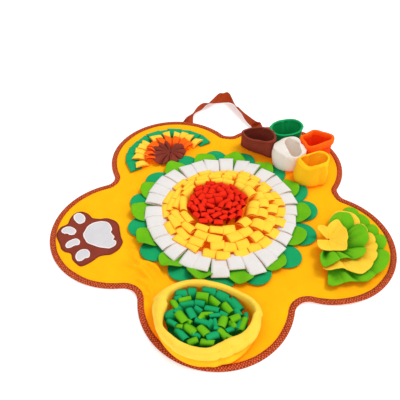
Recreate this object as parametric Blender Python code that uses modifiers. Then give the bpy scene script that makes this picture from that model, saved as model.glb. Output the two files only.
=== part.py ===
"""Snuffle mat: a five-lobed felt mat with a sewn flower, cups, a pouch, ruffles, a fan flower and a paw.

Metres, +Z up. The origin is the middle of the mat's underside, on the floor. The pouch lobe points along -Y.
Bearings are degrees anticlockwise from +X, seen from above.
"""

import math
import random
from types import SimpleNamespace

import bmesh
import bpy
import numpy as np


def table(columns, *rows):
    """A small table: each row becomes an object with the columns as its names."""
    names = columns.split()
    return [SimpleNamespace(**dict(zip(names, row))) for row in rows]


# Driving sizes
GAP = 0.0003  # between pieces that touch
SHEET = 0.003  # the mat's felt sheet
TAPE = 0.001  # the binding's woven tape
TAPE_WIDTH = 0.0155  # how far the tape reaches in over the sheet
LOBE_STEPS = 16  # straight steps along a lobe's rim
NOTCH_STEPS = 4
FLAT_INSET = 0.085  # the sheet is flat further in than this
FLEECE = 0.002
FELT = 0.0015

# The five lobes, and the radius of the inside curve that joins each to the next one
LOBES = table(
    "name bearing centre radius notch",
    ("paw", 198.0, 0.285, 0.192, 0.040),
    ("pouch", 270.0, 0.286, 0.190, 0.040),
    ("ruffle", 341.0, 0.285, 0.191, 0.034),
    ("cups", 54.0, 0.272, 0.196, 0.032),
    ("fan", 126.0, 0.279, 0.196, 0.032),
)

# Where the sheet doesn't lie quite flat: each fold starts at the rim and dies out towards the middle.
FOLDS = table(
    "bearing distance length half_width height",
    (304.5, 0.361, 0.080, 0.060, 0.0045),
    (318.0, 0.430, 0.040, 0.080, 0.0030),
    (235.0, 0.356, 0.075, 0.024, 0.0030),
    (17.0, 0.352, 0.060, 0.030, 0.0025),
)

COLOURS = {
    "golden felt": "#FFC20E",
    "rust tape": "#A9492E",
    "rust webbing": "#A8431F",
    "white felt": "#E9E8E6",
    "yellow fleece": "#FBDD4C",
    "red fleece": "#EE2E10",
    "dark green felt": "#1BA567",
    "light green felt": "#86CE1E",
    "brown felt": "#7E372B",
    "green fleece": "#0E9B57",
    "orange fleece": "#FF6A10",
    "pale yellow fleece": "#F7DC50",
}

for leftover in list(bpy.data.objects):
    bpy.data.objects.remove(leftover, do_unlink=True)
collection = bpy.data.collections.new("snuffle_mat")
bpy.context.scene.collection.children.link(collection)


def cloth(colour):
    """The named cloth colour as a rough Principled material, made once."""
    material = bpy.data.materials.get(colour)
    if material is None:
        material = bpy.data.materials.new(colour)
        material.use_nodes = True
        coded = [int(COLOURS[colour][i : i + 2], 16) / 255 for i in (1, 3, 5)]
        linear = [c / 12.92 if c < 0.04045 else ((c + 0.055) / 1.055) ** 2.4 for c in coded]
        shader = material.node_tree.nodes["Principled BSDF"]
        shader.inputs["Base Color"].default_value = (*linear, 1)
        shader.inputs["Roughness"].default_value = 0.9
        shader.inputs["Metallic"].default_value = 0
    return material


def add_object(name, mesh, colour, smooth=False):
    """Links the mesh to the mat's collection as one named piece."""
    mesh.materials.append(cloth(colour))
    if smooth:
        mesh.shade_smooth()
        mesh.set_sharp_from_angle(angle=math.radians(50))
    piece = bpy.data.objects.new(name, mesh)
    collection.objects.link(piece)
    return piece


def skin(name, rings, colour, around=False, smooth=False):
    """Closed skin over rings of points. The end rings are capped, unless the rings go all the way around."""
    rings = np.asarray(rings, float)
    count, size = rings.shape[:2]
    index = np.arange(count * size).reshape(count, size)
    faces = []
    for i in range(count if around else count - 1):
        here, ahead = index[i], index[(i + 1) % count]
        for j in range(size):
            k = (j + 1) % size
            faces.append((here[j], here[k], ahead[k], ahead[j]))
    if not around:
        faces.append(tuple(index[0][::-1]))
        faces.append(tuple(index[-1]))
    mesh = bpy.data.meshes.new(name)
    mesh.from_pydata(rings.reshape(-1, 3).tolist(), [], [tuple(int(v) for v in face) for face in faces])
    shape = bmesh.new()
    shape.from_mesh(mesh)
    bmesh.ops.recalc_face_normals(shape, faces=shape.faces)
    shape.to_mesh(mesh)
    shape.free()
    return add_object(name, mesh, colour, smooth)


def sheet(name, rows, thickness, colour):
    """An open grid of points, given its thickness by Solidify."""
    rows = np.asarray(rows, float)
    count, size = rows.shape[:2]
    index = np.arange(count * size).reshape(count, size)
    corners = (index[:-1, :-1], index[:-1, 1:], index[1:, 1:], index[1:, :-1])
    faces = np.stack([corner.ravel() for corner in corners], axis=1)
    mesh = bpy.data.meshes.new(name)
    mesh.from_pydata(rows.reshape(-1, 3).tolist(), [], faces.tolist())
    piece = add_object(name, mesh, colour, smooth=True)
    solid = piece.modifiers.new("cloth thickness", "SOLIDIFY")
    solid.thickness = thickness
    solid.offset = 0
    solid.use_even_offset = True


def polar(bearing, distance):
    angle = np.radians(bearing)
    return np.array([np.cos(angle) * distance, np.sin(angle) * distance])


def rim(inset):
    """The mat's outline, moved in by inset: five round lobes joined by round notches."""
    points = []
    middles = [polar(lobe.bearing, lobe.centre) for lobe in LOBES]
    notches = []
    for i, lobe in enumerate(LOBES):
        following = LOBES[(i + 1) % len(LOBES)]
        start, end = middles[i], middles[(i + 1) % len(LOBES)]
        near, far = lobe.radius + lobe.notch, following.radius + lobe.notch
        span = np.linalg.norm(end - start)
        along = (near**2 - far**2 + span**2) / (2 * span)
        out = math.sqrt(near**2 - along**2)
        line = (end - start) / span
        notches.append(start + line * along + np.array([line[1], -line[0]]) * out)
    for i, lobe in enumerate(LOBES):
        middle = middles[i]
        first, last = (np.arctan2(*(notch - middle)[::-1]) for notch in (notches[i - 1], notches[i]))
        last += math.tau * (last < first)
        for angle in np.linspace(first, last, LOBE_STEPS + 1):
            points.append(middle + (lobe.radius - inset) * np.array([math.cos(angle), math.sin(angle)]))
        notch = notches[i]
        following = middles[(i + 1) % len(LOBES)]
        first, last = (np.arctan2(*(side - notch)[::-1]) for side in (middle, following))
        last -= math.tau * (last > first)
        for angle in np.linspace(first, last, NOTCH_STEPS + 1)[1:-1]:
            points.append(notch + (lobe.notch + inset) * np.array([math.cos(angle), math.sin(angle)]))
    return np.array(points)


def lift(points):
    """Height that the folds give the sheet at points in plan."""
    height = np.zeros(len(points))
    for fold in FOLDS:
        start = polar(fold.bearing, fold.distance)
        inward = -start / np.linalg.norm(start)
        along = (points - start) @ inward
        across = (points - start) @ np.array([-inward[1], inward[0]])
        fade = np.clip(1 - along / fold.length, 0, 1)
        bell = np.cos(np.clip(across / fold.half_width, -1, 1) * math.pi / 2) ** 2
        height += fold.height * fade * bell
    return height


def level(inset, height):
    """The outline moved in by inset, at a height above the folds."""
    points = rim(inset)
    return np.column_stack([points, lift(points) * (inset < FLAT_INSET) + height])


# The felt sheet, thinner where the binding's tape passes under its rim, and the tape around it
tape_inner = TAPE + GAP
sheet_edge = TAPE_WIDTH + GAP
skin(
    "mat_base",
    [
        level(FLAT_INSET, 0),
        level(sheet_edge, 0),
        level(sheet_edge, tape_inner),
        level(tape_inner, tape_inner),
        level(tape_inner, SHEET),
        level(sheet_edge, SHEET),
        level(FLAT_INSET, SHEET),
    ],
    "golden felt",
)
binding_top = SHEET + GAP
binding_section = [
    level(0, 0),
    level(TAPE_WIDTH, 0),
    level(TAPE_WIDTH, TAPE),
    level(TAPE, TAPE),
    level(TAPE, binding_top),
    level(TAPE_WIDTH, binding_top),
    level(TAPE_WIDTH, binding_top + TAPE),
    level(0, binding_top + TAPE),
]
skin("edge_binding", np.swapaxes(np.array(binding_section), 0, 1), "rust tape", around=True)

# The webbing handle lies behind the back edge, on the floor. Turn is how far the webbing has rolled over.
STRAP_WIDTH = 0.036
STRAP_THICKNESS = 0.002
STRAP_STEPS = 24
STRAP_ENDS = ((0.12, 0.99), (0.33, -0.94))  # headings, square to the mat's rim
STRAP = table(
    "x y turn",
    (-0.1410, 0.4210, 0),
    (-0.1345, 0.4380, 40),
    (-0.1220, 0.4560, 68),
    (-0.1000, 0.4920, 66),
    (-0.0765, 0.5280, 36),
    (-0.0440, 0.5570, -28),
    (-0.0140, 0.5570, -30),
    (0.0110, 0.5350, 32),
    (0.0310, 0.4940, 54),
    (0.0530, 0.4520, 72),
    (0.0780, 0.4250, 140),
    (0.0960, 0.4085, 180),
)


def strap_rings():
    """Flat sections along a smooth path, each just high enough for its lower edge to touch the floor."""
    knots = np.array([(row.x, row.y, row.turn) for row in STRAP])
    stretch = np.r_[0, np.cumsum(np.linalg.norm(np.diff(knots[:, :2], axis=0), axis=1))]
    spots = np.linspace(0, stretch[-1], STRAP_STEPS)
    slopes = np.gradient(knots, stretch, axis=0)
    rings = []
    for spot in spots:
        k = min(np.searchsorted(stretch, spot, side="right") - 1, len(knots) - 2)
        width = stretch[k + 1] - stretch[k]
        t = (spot - stretch[k]) / width
        x, y, turn = (
            knots[k] * (2 * t**3 - 3 * t**2 + 1)
            + slopes[k] * width * (t**3 - 2 * t**2 + t)
            + knots[k + 1] * (3 * t**2 - 2 * t**3)
            + slopes[k + 1] * width * (t**3 - t**2)
        )
        rings.append((x, y, math.radians(turn)))
    rings = np.array(rings)
    heading = np.gradient(rings[:, :2], axis=0)
    heading[0], heading[-1] = STRAP_ENDS
    heading /= np.linalg.norm(heading, axis=1)[:, None]
    sections = []
    for (x, y, turn), (hx, hy) in zip(rings, heading):
        side = np.array([hy * math.cos(turn), -hx * math.cos(turn), math.sin(turn)])
        face = np.cross([hx, hy, 0], side)
        half, thick = side * STRAP_WIDTH / 2, face * STRAP_THICKNESS / 2
        rise = GAP + abs(half[2]) + abs(thick[2])
        middle = np.array([x, y, rise + TAPE * 0.5])
        lower, upper = middle - thick, middle + thick
        sections.append([lower - half, lower + half, upper + half, upper - half])
    return sections


skin("carry_handle", strap_rings(), "rust webbing", smooth=True)


TAB_TAPER = 0.04  # share by which a tab narrows at each of its steps


def fringe(name, path, foot, closed, tabs, colour, seed):
    """A narrow strip sewn down along a path, with tabs rising from it and bending outwards.

    path gives a place and an outward direction for a share 0..1 of the strip. tabs has count, fill (the tabs'
    share of the strip), thickness, and the steps of a tab: outward distance and height above the foot.
    """
    rng = random.Random(seed)
    shares = []
    for k in range(tabs.count):
        shares += [(k + (1 - tabs.fill) / 2) / tabs.count, (k + (1 + tabs.fill) / 2) / tabs.count]
    half = tabs.thickness / 2
    rings = []
    for share in shares:
        place, out = path(share)
        inner, outer = place - out * half, place + out * half
        top = foot + tabs.strip
        rings.append([(*inner, foot), (*outer, foot), (*outer, top), (*inner, top)])
    piece = skin(name, rings, colour, around=closed)
    shape = bmesh.new()
    shape.from_mesh(piece.data)
    shape.faces.ensure_lookup_table()
    top_faces = {k // 2: shape.faces[k * 4 + 2] for k in range(0, len(shares), 2)}
    for k, face in top_faces.items():
        place, out = path((k + 0.5) / tabs.count)
        along = np.array([-out[1], out[0]])
        longer = 1 + rng.uniform(-1, 1) * tabs.uneven
        higher = 1 + rng.uniform(-1, 1) * tabs.uneven
        sway = rng.uniform(-1, 1) * tabs.sway
        before = np.array([place[0], place[1], foot + tabs.strip])
        width = np.linalg.norm(np.subtract(path(shares[2 * k + 1])[0], path(shares[2 * k])[0]))
        for number, (reach, rise) in enumerate(tabs.steps, 1):
            centre = np.array([*(place + out * reach * longer + along * sway * number), foot + rise * higher])
            heading = centre - before
            forward, up = heading[:2] @ out, heading[2]
            size = math.hypot(forward, up)
            across = np.array([*(out * up / size), -forward / size]) * half
            sides = np.array([*along, 0]) * width / 2 * (1 - TAB_TAPER * number)
            made = bmesh.ops.extrude_discrete_faces(shape, faces=[face])
            face = made["faces"][0]
            for vertex in face.verts:
                point = np.array(vertex.co)
                flat = point[:2] - before[:2]
                left = 1 if flat @ along > 0 else -1
                outer = 1 if (flat @ out > 0 if number == 1 else (point - before) @ last_across > 0) else -1
                vertex.co = centre + sides * left + across * outer
            before, last_across = centre, across
    bmesh.ops.recalc_face_normals(shape, faces=shape.faces)
    shape.to_mesh(piece.data)
    shape.free()


def ring_path(centre, radius, start=0, sweep=360):
    """A round path: the whole ring, or the part of it from a bearing over a sweep."""

    def path(share):
        out = polar(start + sweep * share, 1)
        return np.array(centre) + out * radius, out

    return path


def spiral_path(centre, inner, outer, turns, start, squeeze=1.0):
    """A flat spiral that widens evenly, squeezed along Y."""

    def path(share):
        out = polar(start + 360 * turns * share, 1)
        radius = inner + (outer - inner) * share
        place = np.array(centre) + out * radius * np.array([1, squeeze])
        normal = out * np.array([squeeze, 1])
        return place, normal / np.linalg.norm(normal)

    return path


# The flower: petals in pairs, white tabs over their roots, then rounds of yellow tabs and a coil of red ones
PETAL_PAIRS = 15
PETAL_FIRST_BEARING = 5
PETAL_ROOT = 0.160
PETAL_STACK = 0.0005  # between the two petals of a pair, more than a gap because both curl
PETALS = table(
    "name tip half_width foot curl slip colour",
    ("petal_dark", 0.267, 0.040, SHEET + GAP, 0.0040, 0, "dark green felt"),
    ("petal_light", 0.250, 0.036, SHEET + GAP + FLEECE + PETAL_STACK, 0.0080, 1, "light green felt"),
)
PETAL_ROWS = table("share width", (0, 0.70), (0.42, 1.0), (0.72, 0.93), (0.91, 0.66), (1.0, 0.34))
PETAL_COLUMNS = (-1, -0.5, 0, 0.5, 1)
PETAL_SHOULDER = 0.007  # how far a petal's corners fall back from its tip
PETAL_DRIFT = 3.2  # degrees that the pairs move from even spacing
PETAL_TUCK = 0.016  # how much shorter the petals are where they meet the cups
CUPS_BEARING = 50
SLIP = SimpleNamespace(mean=2, swing=6, widest=165)  # degrees that an upper petal lies off the lower one


def petal_bearing(number, slip):
    """Where a petal points: the pairs drift a little from even spacing, and the upper one slips sideways."""
    even = PETAL_FIRST_BEARING + number * 360 / PETAL_PAIRS
    drift = PETAL_DRIFT * math.sin(math.radians(even))
    return even - drift + slip * (SLIP.mean + SLIP.swing * math.cos(math.radians(even - SLIP.widest)))


def petal(kind, number, bearing):
    near_cups = max(0, math.cos(math.radians(bearing - CUPS_BEARING))) ** 8
    length = kind.tip - PETAL_TUCK * near_cups - PETAL_ROOT
    out, side = polar(bearing, 1), polar(bearing + 90, 1)
    rows = []
    for row in PETAL_ROWS:
        points = []
        for across in PETAL_COLUMNS:
            reach = PETAL_ROOT + length * row.share - PETAL_SHOULDER * row.share**2 * across**2
            place = out * reach + side * across * kind.half_width * row.width
            rise = kind.curl * row.share**2
            points.append((*place, kind.foot + FLEECE / 2 + rise))
        rows.append(points)
    sheet(f"{kind.name}_{number:02d}", rows, FLEECE, kind.colour)


for kind in PETALS:
    for number in range(PETAL_PAIRS):
        petal(kind, number + 1, petal_bearing(number, kind.slip))

PETAL_RISE = 0.0007  # how far the petals' curl lifts them under the white strip
PETAL_TOP = PETALS[1].foot + FLEECE + PETAL_RISE
ROUNDS = table(
    "name radius foot count fill thickness strip uneven sway steps colour",
    ("flower_white_fringe", 0.172, PETAL_TOP, 26, 0.88, 0.003, 0.002, 0.05, 0.0004,
     ((0.008, 0.0055), (0.050, 0.0085)), "white felt"),
    ("flower_yellow_outer", 0.143, SHEET + GAP, 27, 0.90, 0.003, 0.002, 0.04, 0.0008,
     ((0.008, 0.0130), (0.036, 0.0150)), "yellow fleece"),
    ("flower_yellow_middle", 0.116, SHEET + GAP, 23, 0.90, 0.003, 0.002, 0.04, 0.0008,
     ((0.008, 0.0165), (0.037, 0.0195)), "yellow fleece"),
    ("flower_yellow_inner", 0.090, SHEET + GAP, 18, 0.90, 0.003, 0.002, 0.04, 0.0008,
     ((0.007, 0.0200), (0.035, 0.0240)), "yellow fleece"),
)
for number, round_ in enumerate(ROUNDS):
    path = ring_path((0, 0), round_.radius, start=number * 5)
    fringe(round_.name, path, round_.foot, True, round_, round_.colour, seed=number + 1)

RED_COIL = SimpleNamespace(
    count=34, fill=0.84, thickness=0.0055, strip=0.002, uneven=0.06, sway=0.0006,
    steps=((0.001, 0.0190), (0.009, 0.0270)),
)
red_path = spiral_path((-0.006, 0.006), 0.009, 0.068, 2.9, 40)
fringe("flower_red_loops", red_path, SHEET + GAP, False, RED_COIL, "red fleece", seed=9)


# Cups: hemmed fleece cups with a sewn-in bottom, each leaning and squashed in its own way
CUPS = table(
    "name x y half_width half_depth height turn square lean_x lean_y mouth close tilt colour",
    ("cup_brown", 0.098, 0.288, 0.049, 0.033, 0.067, -21, 2.3, 0.001, -0.008, 1.00, 1.5, 4, "brown felt"),
    ("cup_green", 0.184, 0.332, 0.048, 0.033, 0.078, 12, 2.1, -0.001, -0.006, 1.00, 1.5, 2, "green fleece"),
    ("cup_orange", 0.273, 0.268, 0.043, 0.034, 0.078, 34, 3.4, -0.002, -0.004, 1.00, 1.5, 0, "orange fleece"),
    ("cup_white", 0.193, 0.236, 0.043, 0.036, 0.072, 0, 2.2, 0.001, -0.012, 0.50, 3.5, 26, "white felt"),
    ("cup_yellow", 0.254, 0.159, 0.046, 0.035, 0.080, 8, 2.4, 0.001, -0.003, 0.97, 1.5, 3, "yellow fleece"),
)
CUP_WALL = 0.0028
CUP_POINTS = 18
CUP_OUTSIDE = table(
    "share width hem",
    (0.00, 0.84, 0),
    (0.07, 0.96, 0),
    (0.35, 1.00, 0),
    (0.76, 0.97, 0),
    (0.79, 0.98, 1),
    (0.96, 1.00, 1),
)
CUP_INSIDE = table("share width hem", (1.00, 1.00, 0.3), (0.97, 0.98, -1), (0.35, 1.00, -1), (0.06, 0.90, -1))
HEM = 0.0018  # how far the folded hem stands out


def cup_ring(cup, row, foot):
    """One level of a cup: a rounded square, narrowed at the mouth, leaning and tilted more higher up."""
    angles = np.linspace(0, math.tau, CUP_POINTS, endpoint=False)
    cosine, sine = np.cos(angles), np.sin(angles)
    bulge = (np.abs(cosine) ** cup.square + np.abs(sine) ** cup.square) ** (-1 / cup.square)
    narrow = 1 + (cup.mouth - 1) * np.clip((row.share - 0.3) / 0.7, 0, 1) ** cup.close
    extra = HEM * row.hem if row.hem > 0 else CUP_WALL * row.hem
    x = cosine * bulge * (cup.half_width * row.width * narrow + extra)
    y = sine * bulge * (cup.half_depth * row.width * narrow + extra)
    turn = math.radians(cup.turn)
    level_x = x * math.cos(turn) - y * math.sin(turn)
    level_y = x * math.sin(turn) + y * math.cos(turn)
    height = foot + row.share * cup.height + level_y * math.tan(math.radians(cup.tilt)) * row.share**2
    lean = row.share**1.5
    return np.column_stack([cup.x + level_x + cup.lean_x * lean, cup.y + level_y + cup.lean_y * lean, height])


for cup in CUPS:
    rings = [cup_ring(cup, row, SHEET + GAP) for row in CUP_OUTSIDE + CUP_INSIDE]
    skin(cup.name, rings, cup.colour, smooth=True)

# The pouch: a low round wall with a thick collar rolled outwards, and two coils of cloth loops on its floor
POUCH = SimpleNamespace(x=-0.0185, y=-0.3665, half_width=0.110, half_depth=0.0845)
POUCH_POINTS = 28
POUCH_FOOT = SHEET + GAP
POUCH_FLOOR = 0.002
POUCH_DENT = 0.0022  # soft dents where the wall buckles
POUCH_SAG = 0.05  # share by which the wall is higher or lower around the pouch
POUCH_PROFILE = table(
    "outward up",
    (-0.004, 0.000),
    (0.002, 0.010),
    (0.002, 0.024),
    (0.012, 0.026),
    (0.013, 0.038),
    (0.006, 0.048),
    (-0.004, 0.050),
    (-0.010, 0.044),
    (-0.008, 0.020),
    (-0.012, POUCH_FLOOR),
)


def pouch_ring(row):
    """One level of the pouch's wall, with its dents and its uneven height."""
    angles = np.linspace(0, math.tau, POUCH_POINTS, endpoint=False)
    dent = POUCH_DENT * np.sin(angles * 3 + 0.6) * np.sin(angles * 5 + 1.1) * (row.up > POUCH_FLOOR)
    x = POUCH.x + np.cos(angles) * (POUCH.half_width + row.outward + dent)
    y = POUCH.y + np.sin(angles) * (POUCH.half_depth + row.outward + dent)
    sag = 1 + POUCH_SAG * np.sin(angles * 2 + 0.4)
    return np.column_stack([x, y, POUCH_FOOT + row.up * sag])


skin("pouch_wall", [pouch_ring(row) for row in POUCH_PROFILE], "pale yellow fleece", smooth=True)
LOOPS = SimpleNamespace(
    count=19, fill=0.82, thickness=0.008, strip=0.002, uneven=0.08, sway=0.001,
    steps=((0.000, 0.018), (0.006, 0.030)),
)
loop_foot = POUCH_FOOT + POUCH_FLOOR * (1 + POUCH_SAG) + GAP
for name, start, colour in (
    ("pouch_loops_dark", 60, "dark green felt"),
    ("pouch_loops_light", 240, "light green felt"),
):
    path = spiral_path((POUCH.x, POUCH.y), 0.014, 0.084, 1.5, start, squeeze=0.72)
    fringe(name, path, loop_foot, False, LOOPS, colour, seed=start)


def gather(strip):
    """A strip gathered round a centre, open behind: it rises and leans out in pleats that grow to the tip.

    root and tip are distances from the centre; swing is how far the pleats go up and down at the tip.
    """
    angles = np.linspace(-strip.spread, strip.spread, strip.pleats * 4 + 1)
    phase = angles / strip.spread * strip.pleats * math.pi
    direction = np.radians(strip.bearing + angles)
    points = []
    for share in (0, 0.5, 1):
        sideways = strip.swing * PLEAT_REACH * share * np.cos(phase * 0.5 + strip.pleats)
        distance = strip.root + (strip.tip - strip.root) * share + sideways
        height = strip.height * share**PLEAT_BEND + strip.swing * share * np.sin(phase)
        points.append(
            np.column_stack([
                strip.x + np.cos(direction) * distance,
                strip.y + np.sin(direction) * distance,
                SHEET + GAP + FLEECE / 2 + height,
            ])
        )
    sheet(strip.name, points, FLEECE, strip.colour)


# The ruffles: gathered strips, each standing inside the one before, open towards the flower
PLEAT_REACH = 0.8  # how far the pleats go out and in, as a share of how far they go up and down
PLEAT_BEND = 0.8  # below 1 the strip rises first and then leans out
RUFFLES = table(
    "name x y bearing spread root tip height pleats swing colour",
    ("ruffle_1", 0.285, -0.100, -13, 82, 0.096, 0.146, 0.023, 7, 0.0055, "light green felt"),
    ("ruffle_2", 0.285, -0.100, -13, 84, 0.070, 0.120, 0.031, 6, 0.0055, "pale yellow fleece"),
    ("ruffle_3", 0.283, -0.099, -13, 92, 0.044, 0.092, 0.037, 6, 0.0055, "light green felt"),
    ("ruffle_4", 0.276, -0.094, -10, 120, 0.014, 0.055, 0.041, 4, 0.0045, "pale yellow fleece"),
)
for ruffle in RUFFLES:
    gather(ruffle)

# The fan flower: half rounds of tabs, opening towards the mat's edge, around a gathered brown piece
FAN_BEARING = 126
FAN_CENTRE = tuple(polar(FAN_BEARING, 0.276))
FAN_ROUNDS = table(
    "name radius count fill thickness strip uneven sway steps colour",
    ("fan_green", 0.112, 13, 0.88, 0.002, 0.002, 0.03, 0.0005,
     ((0.006, 0.0060), (0.036, 0.0085)), "dark green felt"),
    ("fan_yellow", 0.088, 9, 0.84, 0.003, 0.002, 0.04, 0.0008,
     ((0.006, 0.0120), (0.034, 0.0155)), "yellow fleece"),
    ("fan_orange", 0.064, 8, 0.84, 0.003, 0.002, 0.04, 0.0008,
     ((0.006, 0.0160), (0.034, 0.0215)), "orange fleece"),
)
for number, round_ in enumerate(FAN_ROUNDS):
    path = ring_path(FAN_CENTRE, round_.radius, start=FAN_BEARING - 88, sweep=176)
    fringe(round_.name, path, SHEET + GAP, False, round_, round_.colour, seed=20 + number)
FAN_GATHER = SimpleNamespace(
    name="fan_brown", x=FAN_CENTRE[0], y=FAN_CENTRE[1], bearing=FAN_BEARING, spread=95, root=0.012, tip=0.057,
    height=0.026, pleats=6, swing=0.0060, colour="brown felt",
)
gather(FAN_GATHER)

# The paw patch: brown felt with white pads. Its outline is the pads' discs, grown and run together.
PALM = SimpleNamespace(x=-0.3255, y=-0.107, radius=0.0455)
TOES = table(
    "x y half_length half_width bearing",
    (-0.397, -0.052, 0.021, 0.016, 140),
    (-0.414, -0.095, 0.022, 0.015, 172),
    (-0.393, -0.143, 0.022, 0.015, 205),
    (-0.354, -0.179, 0.022, 0.017, 240),
)
PATCH_MARGIN = 0.0135
PATCH_POINTS = 44


def flat_patch(name, outline, foot, thickness, colour):
    """A flat cut piece: a filled plane curve with half its thickness each way."""
    curve = bpy.data.curves.new(name, "CURVE")
    curve.dimensions = "2D"
    curve.fill_mode = "BOTH"
    curve.extrude = thickness / 2
    spline = curve.splines.new("POLY")
    spline.points.add(len(outline) - 1)
    for point, (x, y) in zip(spline.points, outline):
        point.co = (x, y, 0, 1)
    spline.use_cyclic_u = True
    curve.materials.append(cloth(colour))
    piece = bpy.data.objects.new(name, curve)
    piece.location.z = foot + thickness / 2
    collection.objects.link(piece)


def patch_outline():
    """For each direction from the palm, the furthest edge of any pad's disc, with the corners eased."""
    centre = np.array([PALM.x, PALM.y])
    reaches = []
    for angle in np.linspace(0, math.tau, PATCH_POINTS, endpoint=False):
        ray = np.array([math.cos(angle), math.sin(angle)])
        best = PALM.radius + PATCH_MARGIN
        for toe in TOES:
            offset = np.array([toe.x, toe.y]) - centre
            radius = toe.half_length + PATCH_MARGIN - 0.003
            beside = abs(offset[0] * ray[1] - offset[1] * ray[0])
            if beside < radius and offset @ ray > 0:
                best = max(best, offset @ ray + math.sqrt(radius**2 - beside**2))
        reaches.append(best)
    reaches = np.array(reaches)
    reaches = (np.roll(reaches, 1) + 2 * reaches + np.roll(reaches, -1)) / 4
    angles = np.linspace(0, math.tau, PATCH_POINTS, endpoint=False)
    return centre + np.column_stack([np.cos(angles), np.sin(angles)]) * reaches[:, None]


def oval(x, y, half_length, half_width, bearing, points, ripple=0.0):
    angles = np.linspace(0, math.tau, points, endpoint=False)
    swell = (1 + ripple * np.cos(3 * angles))[:, None]
    long, short = polar(bearing, half_length), polar(bearing + 90, half_width)
    return np.array([x, y]) + swell * (np.outer(np.cos(angles), long) + np.outer(np.sin(angles), short))


patch_foot = SHEET + GAP
pad_foot = patch_foot + FELT + GAP
flat_patch("paw_patch", patch_outline(), patch_foot, FELT, "brown felt")
palm = oval(PALM.x, PALM.y, PALM.radius, PALM.radius * 0.98, 18, 24, ripple=0.09)
flat_patch("paw_pad_palm", palm, pad_foot, FELT, "white felt")
for number, toe in enumerate(TOES, 1):
    shape = oval(toe.x, toe.y, toe.half_length, toe.half_width, toe.bearing, 14)
    flat_patch(f"paw_pad_toe_{number}", shape, pad_foot, FELT, "white felt")
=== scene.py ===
# The looks of a snuffle mat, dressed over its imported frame. Metres, +Z up, in the frame's own axes.
# Bearings are degrees anticlockwise from +X, seen from above; the pouch's lobe points along -Y.
import math
import re

import bmesh
import bpy
import numpy as np
from mathutils import Matrix, Vector


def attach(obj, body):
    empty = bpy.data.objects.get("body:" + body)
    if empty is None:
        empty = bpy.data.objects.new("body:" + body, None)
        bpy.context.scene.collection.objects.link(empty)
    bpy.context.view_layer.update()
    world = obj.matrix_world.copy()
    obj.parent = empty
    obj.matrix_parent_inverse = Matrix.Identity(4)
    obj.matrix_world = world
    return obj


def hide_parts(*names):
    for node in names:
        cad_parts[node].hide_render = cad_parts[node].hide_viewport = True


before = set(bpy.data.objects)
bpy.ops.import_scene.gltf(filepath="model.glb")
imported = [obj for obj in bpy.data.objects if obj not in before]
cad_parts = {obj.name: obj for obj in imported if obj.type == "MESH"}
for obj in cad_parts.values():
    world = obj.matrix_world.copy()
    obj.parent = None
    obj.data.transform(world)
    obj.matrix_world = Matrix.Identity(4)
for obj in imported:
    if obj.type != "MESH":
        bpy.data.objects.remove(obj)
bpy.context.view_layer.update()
print("frame loaded,", len(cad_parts), "nodes")

gap = 0.0003  # between pieces that touch
sheetTop = 0.003  # the felt sheet's upper face
sewnOn = sheetTop + gap  # where pieces sewn to the sheet start
tabCloth = 0.0018  # felt or fleece of the tabs and loops


def direction(bearing):
    # unit vectors in plan at bearings in degrees
    angle = np.radians(bearing)
    return np.stack([np.cos(angle), np.sin(angle)], -1)


def unit(vectors):
    return vectors / np.linalg.norm(vectors, axis=-1, keepdims=True)


def rightOf(vectors):
    # each plan vector, a quarter turn clockwise
    return np.stack([vectors[..., 1], -vectors[..., 0]], -1)


def easeIn(value, start, end):
    # 0 up to start, 1 from end on, and a smooth S between them
    share = np.clip((value - start) / (end - start), 0, 1)
    return share * share * (3 - 2 * share)


def bell(value, middle, width):
    # a smooth hump, 1 at the middle and near 0 two widths away
    return np.exp(-(((value - middle) / width) ** 2))


def aroundBell(angle, middle, width):
    # the same hump on a circle, in degrees
    return bell((np.degrees(angle) - middle + 180) % 360 - 180, 0, width)


def wobble(angle, seed, waves=5, first=1):
    # a smooth uneven line within -1..1: sines of whole frequencies at seeded phases, the fast ones weaker
    rng = np.random.default_rng(seed)
    counts = np.arange(first, first + waves)
    phases = rng.uniform(0, math.tau, waves)
    strengths = rng.uniform(0.6, 1, waves) / np.sqrt(counts / first)
    return (np.sin(np.asarray(angle)[..., None] * counts + phases) * strengths).sum(-1) / strengths.sum()


def closed(line):
    return np.vstack([line, line[:1]])


def lengthsAlong(line):
    return np.r_[0, np.cumsum(np.linalg.norm(np.diff(line, axis=0), axis=1))]


def between(spots, knots, values):
    # rows of values at the knots, read along straight lines between them
    return np.stack([np.interp(spots, knots, column) for column in values.T], -1)


def curveThrough(spots, knots, values):
    # a cubic curve through the values at the knots, leaving each at the mean slope of its neighbours
    slopes = np.gradient(values, knots, axis=0)
    k = np.clip(np.searchsorted(knots, spots, side="right") - 1, 0, len(knots) - 2)
    width = (knots[k + 1] - knots[k])[:, None]
    t = (spots - knots[k])[:, None] / width
    return (
        values[k] * (2 * t**3 - 3 * t**2 + 1) + slopes[k] * width * (t**3 - 2 * t**2 + t)
        + values[k + 1] * (3 * t**2 - 2 * t**3) + slopes[k + 1] * width * (t**3 - t**2)
    )


def placedByHand(rows):
    # a table in metres, from rows that start with a bearing in degrees and go on in millimetres
    table = np.array(rows, float)
    table[:, 1:] /= 1000
    return table


def aroundTable(bearings, rows):
    # a listed table, read smoothly at any bearing round a closed ring
    table = placedByHand(rows)
    turn = np.zeros(table.shape[1])
    turn[0] = 360
    wrapped = np.vstack([table[-3:] - turn, table, table[:3] + turn])
    return curveThrough(np.mod(bearings - table[0, 0], 360) + table[0, 0], wrapped[:, 0], wrapped[:, 1:])


def raised(plan, height):
    # points in plan with their heights
    return np.concatenate([plan, np.broadcast_to(height, plan.shape[:-1])[..., None]], -1)


def newPiece(name, mesh, material):
    mesh.materials.append(material)
    piece = bpy.data.objects.new(name, mesh)
    bpy.context.scene.collection.objects.link(piece)
    return piece


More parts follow.
